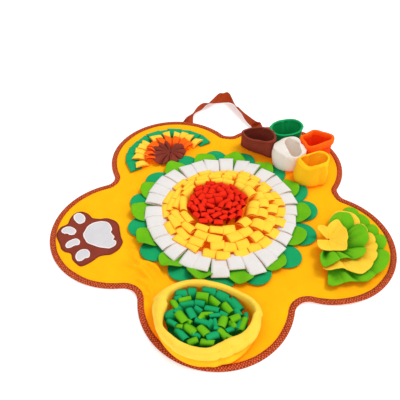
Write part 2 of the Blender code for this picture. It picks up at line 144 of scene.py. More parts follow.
def clothMesh(name, points, material, wrapU=False, wrapV=False, uv=None):
    # quads between neighbouring points of one grid or several; a wrapped side joins its end to its start
    countU, countV = points.shape[-3:-1]
    patches = points.size // (countU * countV * 3)
    stepU, stepV = np.indices((countU - (not wrapU), countV - (not wrapV)))
    cornerU = np.stack([stepU, stepU + 1, stepU + 1, stepU], -1)
    cornerV = np.stack([stepV, stepV, stepV + 1, stepV + 1], -1)
    first = (np.arange(patches) * countU * countV)[:, None, None, None]
    corners = first + (cornerU % countU) * countV + cornerV % countV
    mesh = bpy.data.meshes.new(name)
    mesh.from_pydata(points.reshape(-1, 3).tolist(), [], corners.reshape(-1, 4).tolist())
    mesh.shade_smooth()
    if uv is not None:
        uvLayer = mesh.uv_layers.new(name="UVMap")
        uvLayer.data.foreach_set("uv", uv[cornerU, cornerV].astype(np.float32).ravel())
    mesh.validate()
    return newPiece(name, mesh, material)


def closeSeams(piece, solid=True):
    # merges points that meet at poles and seams, and turns a closed shape's faces outwards
    shape = bmesh.new()
    shape.from_mesh(piece.data)
    bmesh.ops.remove_doubles(shape, verts=shape.verts, dist=1e-6)
    if solid and shape.calc_volume(signed=True) < 0:
        bmesh.ops.reverse_faces(shape, faces=shape.faces)
    shape.to_mesh(piece.data)
    shape.free()
    piece.data.update()
    return piece


def thicken(piece, thickness, offset=0.0):
    solid = piece.modifiers.new("cloth thickness", "SOLIDIFY")
    solid.thickness = thickness
    solid.offset = offset
    return piece


def secondCloth(piece, material, faces):
    # the faces marked True are another cloth
    piece.data.materials.append(material)
    piece.data.polygons.foreach_set("material_index", faces.astype(np.int32))


def dress(piece, standsForNode=True):
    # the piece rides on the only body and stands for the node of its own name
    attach(piece, "root")
    if standsForNode:
        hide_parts(re.sub("[A-Z]|[0-9]+", lambda part: "_" + part[0].lower(), piece.name))
    return piece


def cutSize(points):
    # the longest way along each side of the cloth, and its area
    lengthU = np.linalg.norm(np.diff(points, axis=-3), axis=-1).sum(-2).max()
    lengthV = np.linalg.norm(np.diff(points, axis=-2), axis=-1).sum(-1).max(-1).sum()
    diagonal = points[..., 1:, 1:, :] - points[..., :-1, :-1, :]
    otherDiagonal = points[..., :-1, 1:, :] - points[..., 1:, :-1, :]
    area = np.linalg.norm(np.cross(diagonal, otherDiagonal), axis=-1).sum() / 2
    return (float(lengthU), float(lengthV)), float(area)


def declareSheet(piece, points):
    flat, area = cutSize(points)


def sewCloth(name, grids, material, thickness=tabCloth):
    # one piece of cloth, or a strip of many tabs, sewn down on the mat
    piece = thicken(clothMesh(name, grids, material), thickness)
    declareSheet(dress(piece), grids)


def sewDisc(name, grid, material, thickness, standsForNode=True):
    # rings of points from the middle of a flat piece of cloth out to its edge
    piece = closeSeams(clothMesh(name, grid, material, wrapV=True), solid=False)
    dress(thicken(piece, thickness, offset=-1), standsForNode)
    declareSheet(piece, np.concatenate([grid, grid[:, :1]], 1))


# Materials. Each is a real cloth: its colour drifts a little, and its pile or weave is raised by bump.
# Painted shade darkens their folds, hollows and the gaps of their weave, and felt and fleece glow a little.
def linear(hexCode):
    coded = np.array([int(hexCode[i : i + 2], 16) / 255 for i in (1, 3, 5)])
    return (*np.where(coded < 0.04045, coded / 12.92, ((coded + 0.055) / 1.055) ** 2.4), 1)


def setInputs(tree, node, inputs):
    # another node's socket is linked, and anything else is set on the input itself
    for key, value in inputs.items():
        if isinstance(value, bpy.types.NodeSocket):
            tree.links.new(value, node.inputs[key])
        else:
            node.inputs[key].default_value = value


def addNode(tree, kind, inputs, output=0, **settings):
    # gives back the output socket that the next node takes
    node = tree.nodes.new("ShaderNode" + kind)
    for key, value in settings.items():
        setattr(node, key, value)
    setInputs(tree, node, inputs)
    return node.outputs[output]


def colourBetween(tree, value, low, high, colour, otherColour):
    # the first colour up to low, the other from high on, and mixed between them
    share = addNode(tree, "MapRange", {"Value": value, "From Min": low, "From Max": high})
    return addNode(tree, "Mix", {0: share, 6: colour, 7: otherColour}, output=2, data_type="RGBA")


def newMaterial(name):
    material = bpy.data.materials.new(name)
    material.use_nodes = True
    return material, material.node_tree, material.node_tree.nodes["Principled BSDF"]


def brushedCloth(
    name, slot, colour, shade, paintedShade, mottle=0.030, pile=0.0016, pileHeight=0.0005, sheen=0.25, reach=0.028,
    glow=0.10,
):
    # Brushed polyester felt or fleece: no gloss, a soft light edge where fibres stand up, a colour that drifts
    # over centimetres, painted shade in a deeper, warmer colour in folds and near other pieces, and a painted
    # glow in that colour that lifts its shade
    material, tree, shader = newMaterial(name)
    place = addNode(tree, "TexCoord", {}, "Object")
    drift = addNode(tree, "TexNoise", {"Vector": place, "Scale": 1 / mottle, "Detail": 3.0})
    fibre = addNode(tree, "TexNoise", {"Vector": place, "Scale": 1 / pile, "Detail": 4.0, "Roughness": 0.7})
    both = addNode(tree, "Math", {0: drift, 1: fibre}, operation="ADD")
    mottled = colourBetween(tree, both, 0.55, 1.25, linear(shade), linear(colour))
    # painted shade: where little of the sky reaches, the colour turns to the painted shade colour
    daylight = addNode(tree, "AmbientOcclusion", {"Distance": reach}, "AO", samples=6)
    lump = addNode(tree, "TexNoise", {"Vector": place, "Scale": 0.12 / pile, "Detail": 2.0})
    lumps = addNode(tree, "Bump", {"Height": lump, "Strength": 0.35, "Distance": pileHeight * 3})
    setInputs(tree, shader, {
        "Base Color": colourBetween(tree, daylight, 0.30, 0.85, linear(paintedShade), mottled),
        "Normal": addNode(
            tree, "Bump", {"Height": fibre, "Strength": 0.5, "Distance": pileHeight, "Normal": lumps}),
        "Roughness": 0.95, "Specular IOR Level": 0.15,
        "Sheen Weight": sheen, "Sheen Roughness": 0.45, "Sheen Tint": linear(colour),
        "Emission Color": linear(paintedShade), "Emission Strength": glow,  # painted glow, in the painted shade colour, that lifts the shade
    })
    return material


def wovenCloth(name, colour, shade, rib, slant, height):
    # Twill-woven polyester tape or webbing: slanting ribs with painted shade in their gaps, painted light on
    # their crowns, a random worn mottle and a slight gloss, laid out by the piece's own UV map in metres, about
    # twice as coarse as real so that they show
    material, tree, shader = newMaterial(name)
    place = addNode(tree, "UVMap", {}, uv_map="UVMap")
    ribs = {"Scale": math.tau / 20 / rib, "Distortion": 5.0, "Detail": 3.0, "Detail Scale": 1.5}
    waves = []
    for turn in (slant, -slant):
        slanted = addNode(tree, "Mapping", {"Vector": place, "Rotation": (0, 0, math.radians(turn))})
        waves.append(addNode(tree, "TexWave", {"Vector": slanted, **ribs}, "Fac"))
    crossing = addNode(tree, "Math", {0: waves[0], 1: waves[1]}, operation="MULTIPLY")
    wear = addNode(tree, "TexNoise", {"Vector": place, "Scale": 160.0, "Detail": 4.0, "Roughness": 0.75})
    # painted shade in the ribs' gaps and painted light on their crowns, with a random worn mottle
    ribShadeAndWear = addNode(tree, "Math", {0: crossing, 1: wear}, operation="ADD")
    setInputs(tree, shader, {
        "Base Color": colourBetween(tree, ribShadeAndWear, 0.45, 1.05, linear(shade), linear(colour)),
        "Normal": addNode(tree, "Bump", {"Height": crossing, "Strength": 0.6, "Distance": height}),
        "Roughness": 0.85, "Specular IOR Level": 0.15,
    })
    return material


def spunThread(name, slot, *colours):
    # polyester thread: the same brushed fibres, far finer
    return brushedCloth(name, slot, *colours, pile=0.0008, pileHeight=0.0002, sheen=0.1)


goldenFelt = brushedCloth(
    "needledGoldenFelt", "golden_felt", "#FFBD06", "#FCAF02", "#FF8A00", mottle=0.05, sheen=0.10, reach=0.05,
    glow=0.09,
)
whiteFelt = brushedCloth(
    "brushedWhiteFelt", "white_felt", "#E2E0DE", "#D8D5D3", "#E2C6B2", sheen=0.12, glow=0.08
)
padFelt = brushedCloth("needledPadFelt", "white_felt", "#D4D2D5", "#CAC8CB", "#C0B0AC", sheen=0.12, glow=0.08)
yellowFleece = brushedCloth("brushedYellowFleece", "yellow_fleece", "#FFD846", "#FDC92C", "#F98A12")
whiteFleece = brushedCloth(
    "brushedWhiteFleece", "white_felt", "#E4E0D9", "#DAD4CB", "#F2D6C2", sheen=0.12, reach=0.035, glow=0.12
)
paleYellowFleece = brushedCloth(
    "brushedPaleYellowFleece", "pale_yellow_fleece", "#F8D54E", "#F2C83A", "#F2900E", glow=0.13
)
ruffleFelt = brushedCloth("needledPaleYellowFelt", "pale_yellow_fleece", "#F6D242", "#F0C22A", "#EE9E10")
# painted shade: a darker copy of the pale yellow fleece, for the pouch's shaded wall
shadedPaleYellowFleece = brushedCloth(
    "brushedMustardFleece", "pale_yellow_fleece", "#FFC51E", "#FCB60E", "#F68A06", glow=0.16
)
cupFleece = brushedCloth(
    "brushedGoldenFleece", "yellow_fleece", "#FFC81E", "#FDBC10", "#F4A00C", reach=0.03, glow=0.10
)
redFleece = brushedCloth("brushedRedFleece", "red_fleece", "#F42E12", "#E02008", "#AC0C04", reach=0.018)
orangeFleece = brushedCloth(
    "brushedOrangeFleece", "orange_fleece", "#FF6E10", "#FA5A08", "#F03A06", reach=0.03
)
# painted shade: a darker, redder copy of the orange fleece, for the orange cup's shaded inside and lower wall
shadedOrangeFleece = brushedCloth("brushedEmberFleece", "orange_fleece", "#F4500C", "#EC4208", "#E02806", reach=0.03)
darkGreenFelt = brushedCloth("needledDarkGreenFelt", "dark_green_felt", "#18A868", "#0F9859", "#08703C")
lightGreenFelt = brushedCloth(
    "needledLightGreenFelt", "light_green_felt", "#74BE16", "#5EAC0E", "#268610", glow=0.08
)
brownFelt = brushedCloth("needledBrownFelt", "brown_felt", "#8C3B2C", "#783022", "#64291E", glow=0.14)
greenFleece = brushedCloth(
    "brushedGreenFleece", "green_fleece", "#14A862", "#0C9752", "#087E42", reach=0.03, glow=0.12
)
rustTape = wovenCloth("wovenRustTape", "#E4683A", "#7E240E", rib=0.0056, slant=38, height=0.0006)
rustWebbing = wovenCloth(
    "wovenRustWebbing", "#C04A1E", "#A03A12", rib=0.0040, slant=62, height=0.0004
)
rustThread = spunThread("spunRustThread", "rust_tape", "#8C3722", "#74291A", "#5A2012")
whiteThread = spunThread("spunWhiteThread", "white_felt", "#F8F0F0", "#EADDDC", "#C8A8A0")
brownThread = spunThread("spunBrownThread", "brown_felt", "#6B2A1F", "#561F17", "#431711")
print("materials made")

# The mat: five round lobes joined by round notches, with the folds of the CAD sheet and finer creases on it
mat = {"thickness": 0.003, "underTape": 0.0025, "around": 500, "rows": 90, "undulation": 0.0007,
       "flowerEdge": (0.20, 0.26), "tapeEdge": (0.90, 0.96)}
lobes = np.array([  # bearing, centre's distance, radius, and radius of the notch that follows
    (198.0, 0.285, 0.192, 0.040), (270.0, 0.286, 0.190, 0.040), (341.0, 0.285, 0.191, 0.034),
    (54.0, 0.272, 0.196, 0.032), (126.0, 0.279, 0.196, 0.032),
])
folds = placedByHand([  # bearing, start's distance, length inwards, half width and height of each lifted rim
    (304.5, 361, 80, 60, 4.5), (318, 430, 40, 80, 3), (235, 356, 75, 24, 3), (17, 352, 60, 30, 2.5),
])
creases = np.array([  # in mm: from x, y to x, y, then half width and height of each soft ridge in the felt
    (-244, -150, -206, -174, 6, 6), (-236, -168, -186, -222, 7, 8.5), (-240, -200, -156, -259, 7, 11.5),
    (-214, -238, -148, -296, 7, 10.5), (-184, -280, -140, -332, 6, 9), (-200, -188, -140, -226, 6, 7),
    (-296, -214, -262, -236, 8, 2), (214, -160, 270, -262, 16, 3), (262, -187, 315, -262, 12, 2.6),
    (115, -285, 168, -334, 14, 3.4), (-352, 20, -300, -60, 12, 2), (300, 60, 344, 118, 12, 2.2),
    (-20, 300, 10, 350, 14, 2.4), (20, 290, 52, 262, 10, 2.2),
]) / 1000


def rimLine(count):
    # arcs of the lobes' circles, joined by arcs of the notch circles that touch both, as evenly spaced points
    middles = direction(lobes[:, 0]) * lobes[:, 1:2]
    following = np.roll(middles, -1, axis=0)
    near = lobes[:, 2] + lobes[:, 3]
    far = np.roll(lobes[:, 2], -1) + lobes[:, 3]
    span = np.linalg.norm(following - middles, axis=1)
    along = (near**2 - far**2 + span**2) / (2 * span)
    out = np.sqrt(near**2 - along**2)
    heading = unit(following - middles)
    notches = middles + heading * along[:, None] + rightOf(heading) * out[:, None]
    places, normals = [], []
    for i, (_, _, lobeRadius, notchRadius) in enumerate(lobes):
        lobeArc = (middles[i], lobeRadius, notches[i - 1], notches[i], 1)
        notchArc = (notches[i], notchRadius, middles[i], following[i], -1)
        for centre, radius, start, end, way in (lobeArc, notchArc):
            first, last = (np.arctan2(*(corner - centre)[::-1]) for corner in (start, end))
            last += way * math.tau * (last * way < first * way)
            outward = direction(np.degrees(np.linspace(first, last, 200 if way > 0 else 60)))
            outward = outward if way > 0 else outward[1:-1]
            places.append(centre + radius * outward)
            normals.append(way * outward)
    places, normals = closed(np.concatenate(places)), closed(np.concatenate(normals))
    length = lengthsAlong(places)
    spots = np.linspace(0, length[-1], count, endpoint=False)
    return between(spots, length, places), unit(between(spots, length, normals)), length[-1]


def feltLift(place):
    # how far the sheet is off the floor: the rim's folds, which die out inwards, and its creases' ridges
    height = np.zeros(place.shape[:-1])
    for bearing, distance, length, halfWidth, rise in folds:
        start = direction(bearing) * distance
        inward = -start / distance
        fade = np.clip(1 - (place - start) @ inward / length, 0, 1)
        across = (place - start) @ rightOf(inward)
        height += rise * fade * np.cos(np.clip(across / halfWidth, -1, 1) * math.pi / 2) ** 2
    for x1, y1, x2, y2, halfWidth, rise in creases:
        start, end = np.array([x1, y1]), np.array([x2, y2])
        length = np.linalg.norm(end - start)
        heading = (end - start) / length
        along = (place - start) @ heading / length
        bow = 0.10 * length * np.sin(np.clip(along, 0, 1) * math.pi)
        across = (place - start) @ rightOf(heading) + bow
        fade = easeIn(along, -0.15, 0.3) * (1 - easeIn(along, 0.7, 1.2))
        height += rise * bell(across, 0, halfWidth) * fade
    return height


def undulation(place):
    # the felt never lies dead flat: three slow crossed waves, always upwards
    x, y = place[..., 0], place[..., 1]
    crossed = np.sin(x * 31 + 1.7 * np.sin(y * 13)) + np.sin(y * 37 + 2 * np.sin(x * 17 + 1))
    return mat["undulation"] * (crossed + np.sin((x + y) * 23 + 2) + 3) / 6


rimPlaces, rimOut, rimLength = rimLine(mat["around"])
shares = np.linspace(0, 1, mat["rows"])[:, None]
matPlan = (rimPlaces - rimOut * mat["underTape"]) * shares[..., None]
free = easeIn(np.linalg.norm(matPlan, axis=-1), *mat["flowerEdge"])  # nothing moves under the flower
pressed = 1 - easeIn(shares, *mat["tapeEdge"])  # nor under the tape, but for the folds
matGrid = raised(matPlan, sheetTop + feltLift(matPlan) * free + undulation(matPlan) * free * pressed)
matBase = closeSeams(clothMesh("matBase", matGrid, goldenFelt, wrapV=True), solid=False)
dress(thicken(matBase, mat["thickness"], offset=-1))
cutSize(matGrid)[1]

# The binding: a woven tape folded over the rim, its inner edge a little uneven, sewn through near that edge
binding = {"width": 0.0155, "puff": 0.0012, "thickness": 0.001, "around": 900, "slack": 0.0007,
           "ruck": 0.0004, "stitch": 0.0046, "stitchInset": 0.0128, "stitchHeight": 0.0053, "thread": 0.0005}
bindingInset, bindingHeight = np.array([  # from its upper inner edge: share of the width, and height in mm
    (1.00, 3.7), (0.90, 4.4), (0.62, 5.2), (0.35, 5.3), (0.13, 4.7), (0.035, 3.6), (0.03, 2.2),
    (0.09, 1.0), (0.30, 0.6), (0.65, 0.5), (1.00, 0.5),
]).T
bindingHeight = bindingHeight / 1000
rimPlaces, rimOut, rimLength = rimLine(binding["around"])
rimAngle = np.linspace(0, math.tau, binding["around"], endpoint=False)
reach = binding["width"] + binding["slack"] * wobble(rimAngle * 9, 5)
reach = reach + binding["ruck"] * wobble(rimAngle * 40, 6)
tapePlan = rimPlaces[:, None] - rimOut[:, None] * (bindingInset * reach[:, None])[..., None]
puff = (bindingHeight > sheetTop) * binding["puff"] * 0.45 * np.sin(bindingInset * math.pi)
tapeHeight = bindingHeight + puff * wobble(rimAngle * 22, 7)[:, None] + feltLift(tapePlan)
tapeGrid = raised(tapePlan, tapeHeight)
tapeAlong = np.linspace(0, rimLength, binding["around"] + 1)
tapeAcross = lengthsAlong(tapeGrid[0])
tapeUv = np.stack(np.meshgrid(tapeAlong, tapeAcross, indexing="ij"), -1)
edgeBinding = clothMesh("edgeBinding", tapeGrid, rustTape, wrapU=True, uv=tapeUv)
dress(thicken(edgeBinding, binding["thickness"]))


def stitches(name, line, pitch, length, heightAt, thick, material):
    # one short arched thread for each stitch along a closed line: a six-sided tube, pinched at both ends
    line = closed(line)
    lineLength = lengthsAlong(line)
    spots = np.arange(0, lineLength[-1] - pitch / 2, pitch)
    places = between(spots, lineLength, line)
    headings = unit(between((spots + pitch / 4) % lineLength[-1], lineLength, line) - places)
    along = np.linspace(-1, 1, 5)[:, None]
    turn = np.linspace(0, math.tau, 6, endpoint=False)
    swell = np.sqrt(np.clip(1 - along**2, 0, 1)) * thick
    plan = (
        places[:, None, None] + headings[:, None, None] * (along * length / 2)[..., None]
        - rightOf(headings)[:, None, None] * (swell * np.cos(turn))[..., None]
    )
    arch = (1 - along**2) * thick * 0.6 + swell * np.sin(turn)
    grids = raised(plan, heightAt(places)[:, None, None] + arch)
    dress(closeSeams(clothMesh(name, grids, material, wrapV=True)), standsForNode=False)


hemLine = rimPlaces - rimOut * binding["stitchInset"]
stitches(
    "bindingStitches", hemLine, binding["stitch"], binding["stitch"] * 0.8,
    lambda places: feltLift(places) + binding["stitchHeight"], binding["thread"], rustThread,
)
print("mat and binding made")

# The handle: flat webbing that stands and leans on its inner edge, and lies flat where its ends are sewn in
strap = {"width": 0.036, "thickness": 0.002, "steps": 190, "columns": 9, "foot": 0.0022}
strapEdges = np.array([  # in mm: inner edge's x and y, outer edge's x, y and height
    (-123.2, 418.8, -158.8, 423.2, 2.2), (-126.2, 443, -145, 426, 20), (-125, 474.4, -126.1, 445.4, 23.2),
    (-101.1, 501.9, -111.6, 479.7, 28.2), (-87.1, 530.7, -91, 505.2, 27), (-78.3, 540.5, -77.1, 511.6, 23.4),
    (-62, 543.2, -60.4, 526.1, 33.6), (-44.9, 546, -43.8, 552, 37.5), (-23.5, 550.7, -29, 556.9, 37),
    (-1.9, 550.8, -6, 557, 35.5), (8.9, 545, 11.6, 517.2, 24.5), (23.9, 517, 27.6, 491.1, 25),
    (40.9, 486.8, 46.5, 462.4, 25), (54.2, 450.1, 69.4, 432.5, 27), (69.5, 422.9, 96.8, 410, 24),
    (74, 416, 104, 427, 12), (79, 402.6, 113, 414.5, 2.2),
]) / 1000
strapStretch = lengthsAlong(strapEdges[:, :2])
edges = curveThrough(np.linspace(0, strapStretch[-1], strap["steps"]), strapStretch, strapEdges)
innerEdge = raised(edges[:, :2], strap["foot"])
outerEdge = raised(edges[:, 2:4], np.maximum(edges[:, 4], strap["foot"]))
across = np.linspace(0, 1, strap["columns"])
strapGrid = innerEdge[:, None] + (outerEdge - innerEdge)[:, None] * across[:, None]
strapAlong = lengthsAlong(strapGrid[:, strap["columns"] // 2])
strapUv = np.stack(np.meshgrid(strapAlong, across * strap["width"], indexing="ij"), -1)
carryHandle = clothMesh("carryHandle", strapGrid, rustWebbing, uv=strapUv)
dress(thicken(carryHandle, strap["thickness"]))
print("handle made")

# Petals in pairs: a tongue of felt, each with its own curl, the light one over the dark one
petals = {"root": 0.160, "felt": 0.002, "roundEnd": 0.42, "swollenAt": 0.42, "darkTip": 267,
          "pressed": (0, 2)}
petalPlaces = (  # bearings of the dark petal and the light one, the light one's tip in mm, and how wavy it is
    (6, 3, 246, 1), (26, 30, 246, 1), (51, 59, 246, 1.2), (77, 84, 254, 1), (99, 107, 252, 1),
    (122, 133, 254, 1.2), (150, 162, 254, 1.4), (175, 185, 256, 1.6), (199, 211, 256, 2.2),
    (222, 237, 254, 2.4), (247, 258, 248, 2), (272, 273, 214, 0), (295, 285, 256, 1.4), (320, 310, 250, 1),
    (343, 339, 242, 1),
)
petalKinds = [
    {"name": "petalDark", "material": darkGreenFelt, "halfWidth": 0.040, "foot": sewnOn,
     "upper": 0, "curl": 0.004, "cup": 0.0015, "wave": 0.0012},
    {"name": "petalLight", "material": lightGreenFelt, "halfWidth": 0.036, "foot": sewnOn + 0.0025,
     "upper": 1, "curl": 0.008, "cup": 0.0028, "wave": 0.0042},
]


def petalGrid(kind, number):
    # a tongue with swelling sides and half an ellipse at its end, up to which each column runs; it curls up
    # with the square of the way to the tip
    upper = kind["upper"]
    rng = np.random.default_rng(100 + number + 50 * upper)
    bearing = petalPlaces[number][upper]
    tip = (petalPlaces[number][2] if upper else petals["darkTip"]) / 1000
    across = np.sin(np.linspace(-math.pi / 2, math.pi / 2, 19))
    share = np.linspace(0, 1, 22)[:, None] * (1 - petals["roundEnd"] * (1 - np.sqrt(1 - across**2)))
    width = 0.70 + 0.30 * (1 - np.clip(1 - share / petals["swollenAt"], 0, 1) ** 2)
    uneven = 1 + 0.02 * np.sin(share * 7 + rng.uniform(0, 6)) * np.sign(across)
    reach = petals["root"] + share * (tip - petals["root"])
    side = across * kind["halfWidth"] * width * uneven
    plan = direction(bearing) * reach[..., None] + direction(bearing + 90) * side[..., None]
    lift = kind["curl"] * rng.uniform(0.7, 1.2) * share**2
    cup = kind["cup"] * rng.uniform(0.3, 1.3) * across**2 * easeIn(share, 0.35, 1)
    wave = kind["wave"] * (1 + np.sin(across * rng.uniform(2.6, 4.6) + rng.uniform(0, 6)))
    wave = wave * easeIn(share, 0.5, 1) * (petalPlaces[number][3] if upper else 1)
    loose = 0.1 if (upper, number) == petals["pressed"] else 1  # the white cup stands on that petal's tip
    return raised(plan, kind["foot"] + petals["felt"] / 2 + (lift + cup + wave) * loose)


for kind in petalKinds:
    for number in range(len(petalPlaces)):
        name = f"{kind['name']}{number + 1:02d}"
        sewCloth(name, petalGrid(kind, number), kind["material"], petals["felt"])
print("petals made")


def clothLoops(spots, outward, sizes, bends, points=21, columns=7):
    # At each spot a strip folded back on itself. It goes out and back at half * sin(t) sin(t/2)^fat from a line
    # that runs outwards and up from the root. sizes: width, length, rise and half opening. bends: how quickly
    # it rises, its tip's droop, its skew and twist, its fatness at the root and its flare at the tip.
    def forEach(values):
        return (np.broadcast_to(value, len(spots))[:, None] for value in values)

    width, length, rise, half = forEach(sizes)
    quick, droop, skew, twist, fat, flare = forEach(bends)
    t = np.linspace(0, math.tau, points)
    share = (1 - np.cos(t)) / 2
    along = length * share**1.15
    up = rise * (1 - (1 - share) ** quick) - droop * share**3
    headAlong, headUp = np.gradient(along, axis=1), np.gradient(up, axis=1)
    size = (np.hypot(headAlong, headUp) + 1e-9) * np.where(t <= math.pi, 1, -1)
    away = half * np.sin(t) * np.abs(np.sin(t / 2)) ** fat
    w = np.linspace(-0.5, 0.5, columns)
    across = (width * (1 + flare * share))[..., None] * w
    alongLoop = (along - headUp / size * away)[..., None] + (skew * share)[..., None] * w
    sag = (0.10 * half * share)[..., None] * (2 * w) ** 2
    upLoop = (up + headAlong / size * away)[..., None] + (twist * share)[..., None] * w - sag
    plan = (
        spots[:, None, None, :2] + outward[:, None, None] * alongLoop[..., None]
        - rightOf(outward)[:, None, None] * across[..., None]
    )
    return raised(plan, spots[:, None, None, 2] + upLoop)


def turned(vectors, degrees):
    # plan vectors turned anticlockwise
    angle = np.radians(degrees)[:, None]
    return vectors * np.cos(angle) - rightOf(vectors) * np.sin(angle)


def roundOfLoops(spec, seed, start=0, sweep=360):
    # loops side by side on a ring or a part of one, all a little different. Their tips may be listed,
    # and they may be wider and shorter on the left, where the ring is narrow.
    rng = np.random.default_rng(seed)
    count = spec["count"]
    place = (np.arange(count) + 0.5 + rng.uniform(-0.14, 0.14, count)) / count
    even = np.linspace(0, 1, 721)
    closeness = 1 - spec.get("wide", 0) * aroundBell(np.radians(start + sweep * even), 178, 62)
    shareOf = np.r_[0, np.cumsum((closeness[1:] + closeness[:-1]) / 2)]
    place = np.interp(place, shareOf / shareOf[-1], even)
    stretch = closeness.mean() / np.interp(place, even, closeness)
    bearing = start + sweep * place
    out = direction(bearing)
    radius = spec["radius"] + rng.uniform(-1, 1, count) * spec["shift"]
    spots = raised(np.array(spec.get("centre", (0, 0))) + out * radius[:, None], spec["foot"])
    pitch = math.radians(sweep) * spec["radius"] / count
    if "tips" in spec:
        length = aroundTable(bearing, spec["tips"])[:, 0] - radius
    else:
        narrow = spec.get("narrow", 0) * (0.5 + 0.5 * np.cos(np.radians(bearing - 140)))
        length = spec["length"] * (1 + rng.uniform(-1, 1, count) * spec["uneven"]) * (1 - narrow)
    jitter = rng.uniform(-1, 1, (7, count))
    sizes = (
        pitch * stretch * spec["fill"] * (1 + 0.10 * jitter[0]), length,
        spec["rise"] * (1 + spec["uneven"] * jitter[1]), spec["half"] * (1 + 0.2 * jitter[2]),
    )
    bends = (
        spec["quick"] * (1 + 0.2 * jitter[3]), spec["droop"] * (1 + jitter[4]), spec["skew"] * jitter[5],
        spec["twist"] * jitter[6], spec["fat"], spec["flare"],
    )
    return clothLoops(spots, turned(out, rng.uniform(-1, 1, count) * spec["yaw"]), sizes, bends)


# The flower: white tabs over the petals' roots, then rows of yellow tabs that lean on each other as tiles do
whiteTab = {"radius": 0.158, "foot": sewnOn + 0.0067, "count": 30, "fill": 1.08, "rise": 0.0066,
            "half": 0.0038, "quick": 2.4, "droop": 0.001, "skew": 0.006, "twist": 0.003, "fat": 0.45,
            "flare": 0.22, "uneven": 0.16, "yaw": 6, "shift": 0.001, "tips": (  # bearing, and distance in mm
                (5, 207), (20, 213), (43, 215), (57, 219), (82, 223), (97, 221), (126, 219), (151, 226),
                (169, 222), (189, 216), (209, 214), (220, 215), (233, 219), (247, 222), (260, 219),
                (265, 217), (271, 234), (277, 215), (285, 214), (294, 238), (300, 228), (308, 222),
                (322, 212), (336, 205), (349, 203),
            )}
yellowTab = {"foot": sewnOn + 0.001, "quick": 3.4, "droop": 0.003, "skew": 0.005, "twist": 0.005, "fat": 0.45,
             "flare": 0.03, "uneven": 0.10, "shift": 0.003, "half": 0.0048, "fill": 1.00, "wide": 0.40}
flowerRounds = [
    ("flowerWhiteFringe", whiteFelt, [whiteTab]),
    ("flowerYellowOuter", yellowFleece, [
        {**yellowTab, "centre": (-0.001, 0.001), "radius": 0.139, "count": 23, "length": 0.039,
         "narrow": 0.34, "rise": 0.0150, "yaw": 9}]),
    ("flowerYellowMiddle", yellowFleece, [
        {**yellowTab, "centre": (-0.006, 0.006), "radius": 0.121, "count": 20, "length": 0.042,
         "narrow": 0.48, "rise": 0.0190, "yaw": 11}]),
    ("flowerYellowInner", yellowFleece, [
        {**yellowTab, "centre": (-0.012, 0.012), "radius": 0.103, "count": 17, "length": 0.042,
         "narrow": 0.53, "rise": 0.0220, "yaw": 13},
        {**yellowTab, "centre": (-0.017, 0.016), "radius": 0.083, "count": 14, "length": 0.039,
         "narrow": 0.53, "rise": 0.0245, "yaw": 14}]),
]
for number, (name, material, rows) in enumerate(flowerRounds):
    grids = [roundOfLoops(row, seed=11 + 3 * number + k, start=number * 5) for k, row in enumerate(rows)]
    sewCloth(name, np.concatenate(grids), material)

redLoops = {"centre": (-0.018, 0.016), "outer": 0.077, "start": 40, "count": 48, "squeeze": 1.04,
            "foot": sewnOn + 0.001, "width": 0.0240, "rise": 0.0290, "half": 0.0058, "lean": 0.018,
            "quick": 2.8, "yaw": 28, "yawMiddle": 60, "skew": 0.003, "twist": 0.005, "fat": 0.25,
            "uneven": 0.08, "lower": 0.18, "goldenAngle": 137.508}


def packOfLoops(spec, seed):
    # loops packed evenly into a round, each a golden angle on from the last one, facing outwards give or take
    rng = np.random.default_rng(seed)
    count = spec["count"]
    share = np.sqrt((np.arange(count) + 0.5) / count)
    out = direction(spec["start"] + spec["goldenAngle"] * np.arange(count))
    plan = np.array(spec["centre"]) + out * (spec["outer"] * share)[:, None] * np.array([1, spec["squeeze"]])
    out = turned(out, rng.uniform(-1, 1, count) * (spec["yaw"] + spec["yawMiddle"] * (1 - share)))
    lean = spec["lean"] * rng.uniform(0.8, 1.2, count)
    jitter = rng.uniform(-1, 1, (5, count))
    rise = spec["rise"] * (1 + spec["uneven"] * jitter[1] - spec["lower"] * share**3)
    sizes = spec["width"] * (1 + 0.12 * jitter[0]), lean, rise, spec["half"] * (1 + 0.1 * jitter[2])
    bends = spec["quick"], 0, spec["skew"] * jitter[3], spec["twist"] * jitter[4], spec["fat"], 0
    return clothLoops(raised(plan - out * lean[:, None] * 0.5, spec["foot"]), out, sizes, bends)


sewCloth("flowerRedLoops", packOfLoops(redLoops, seed=31), redFleece)
print("flower made")
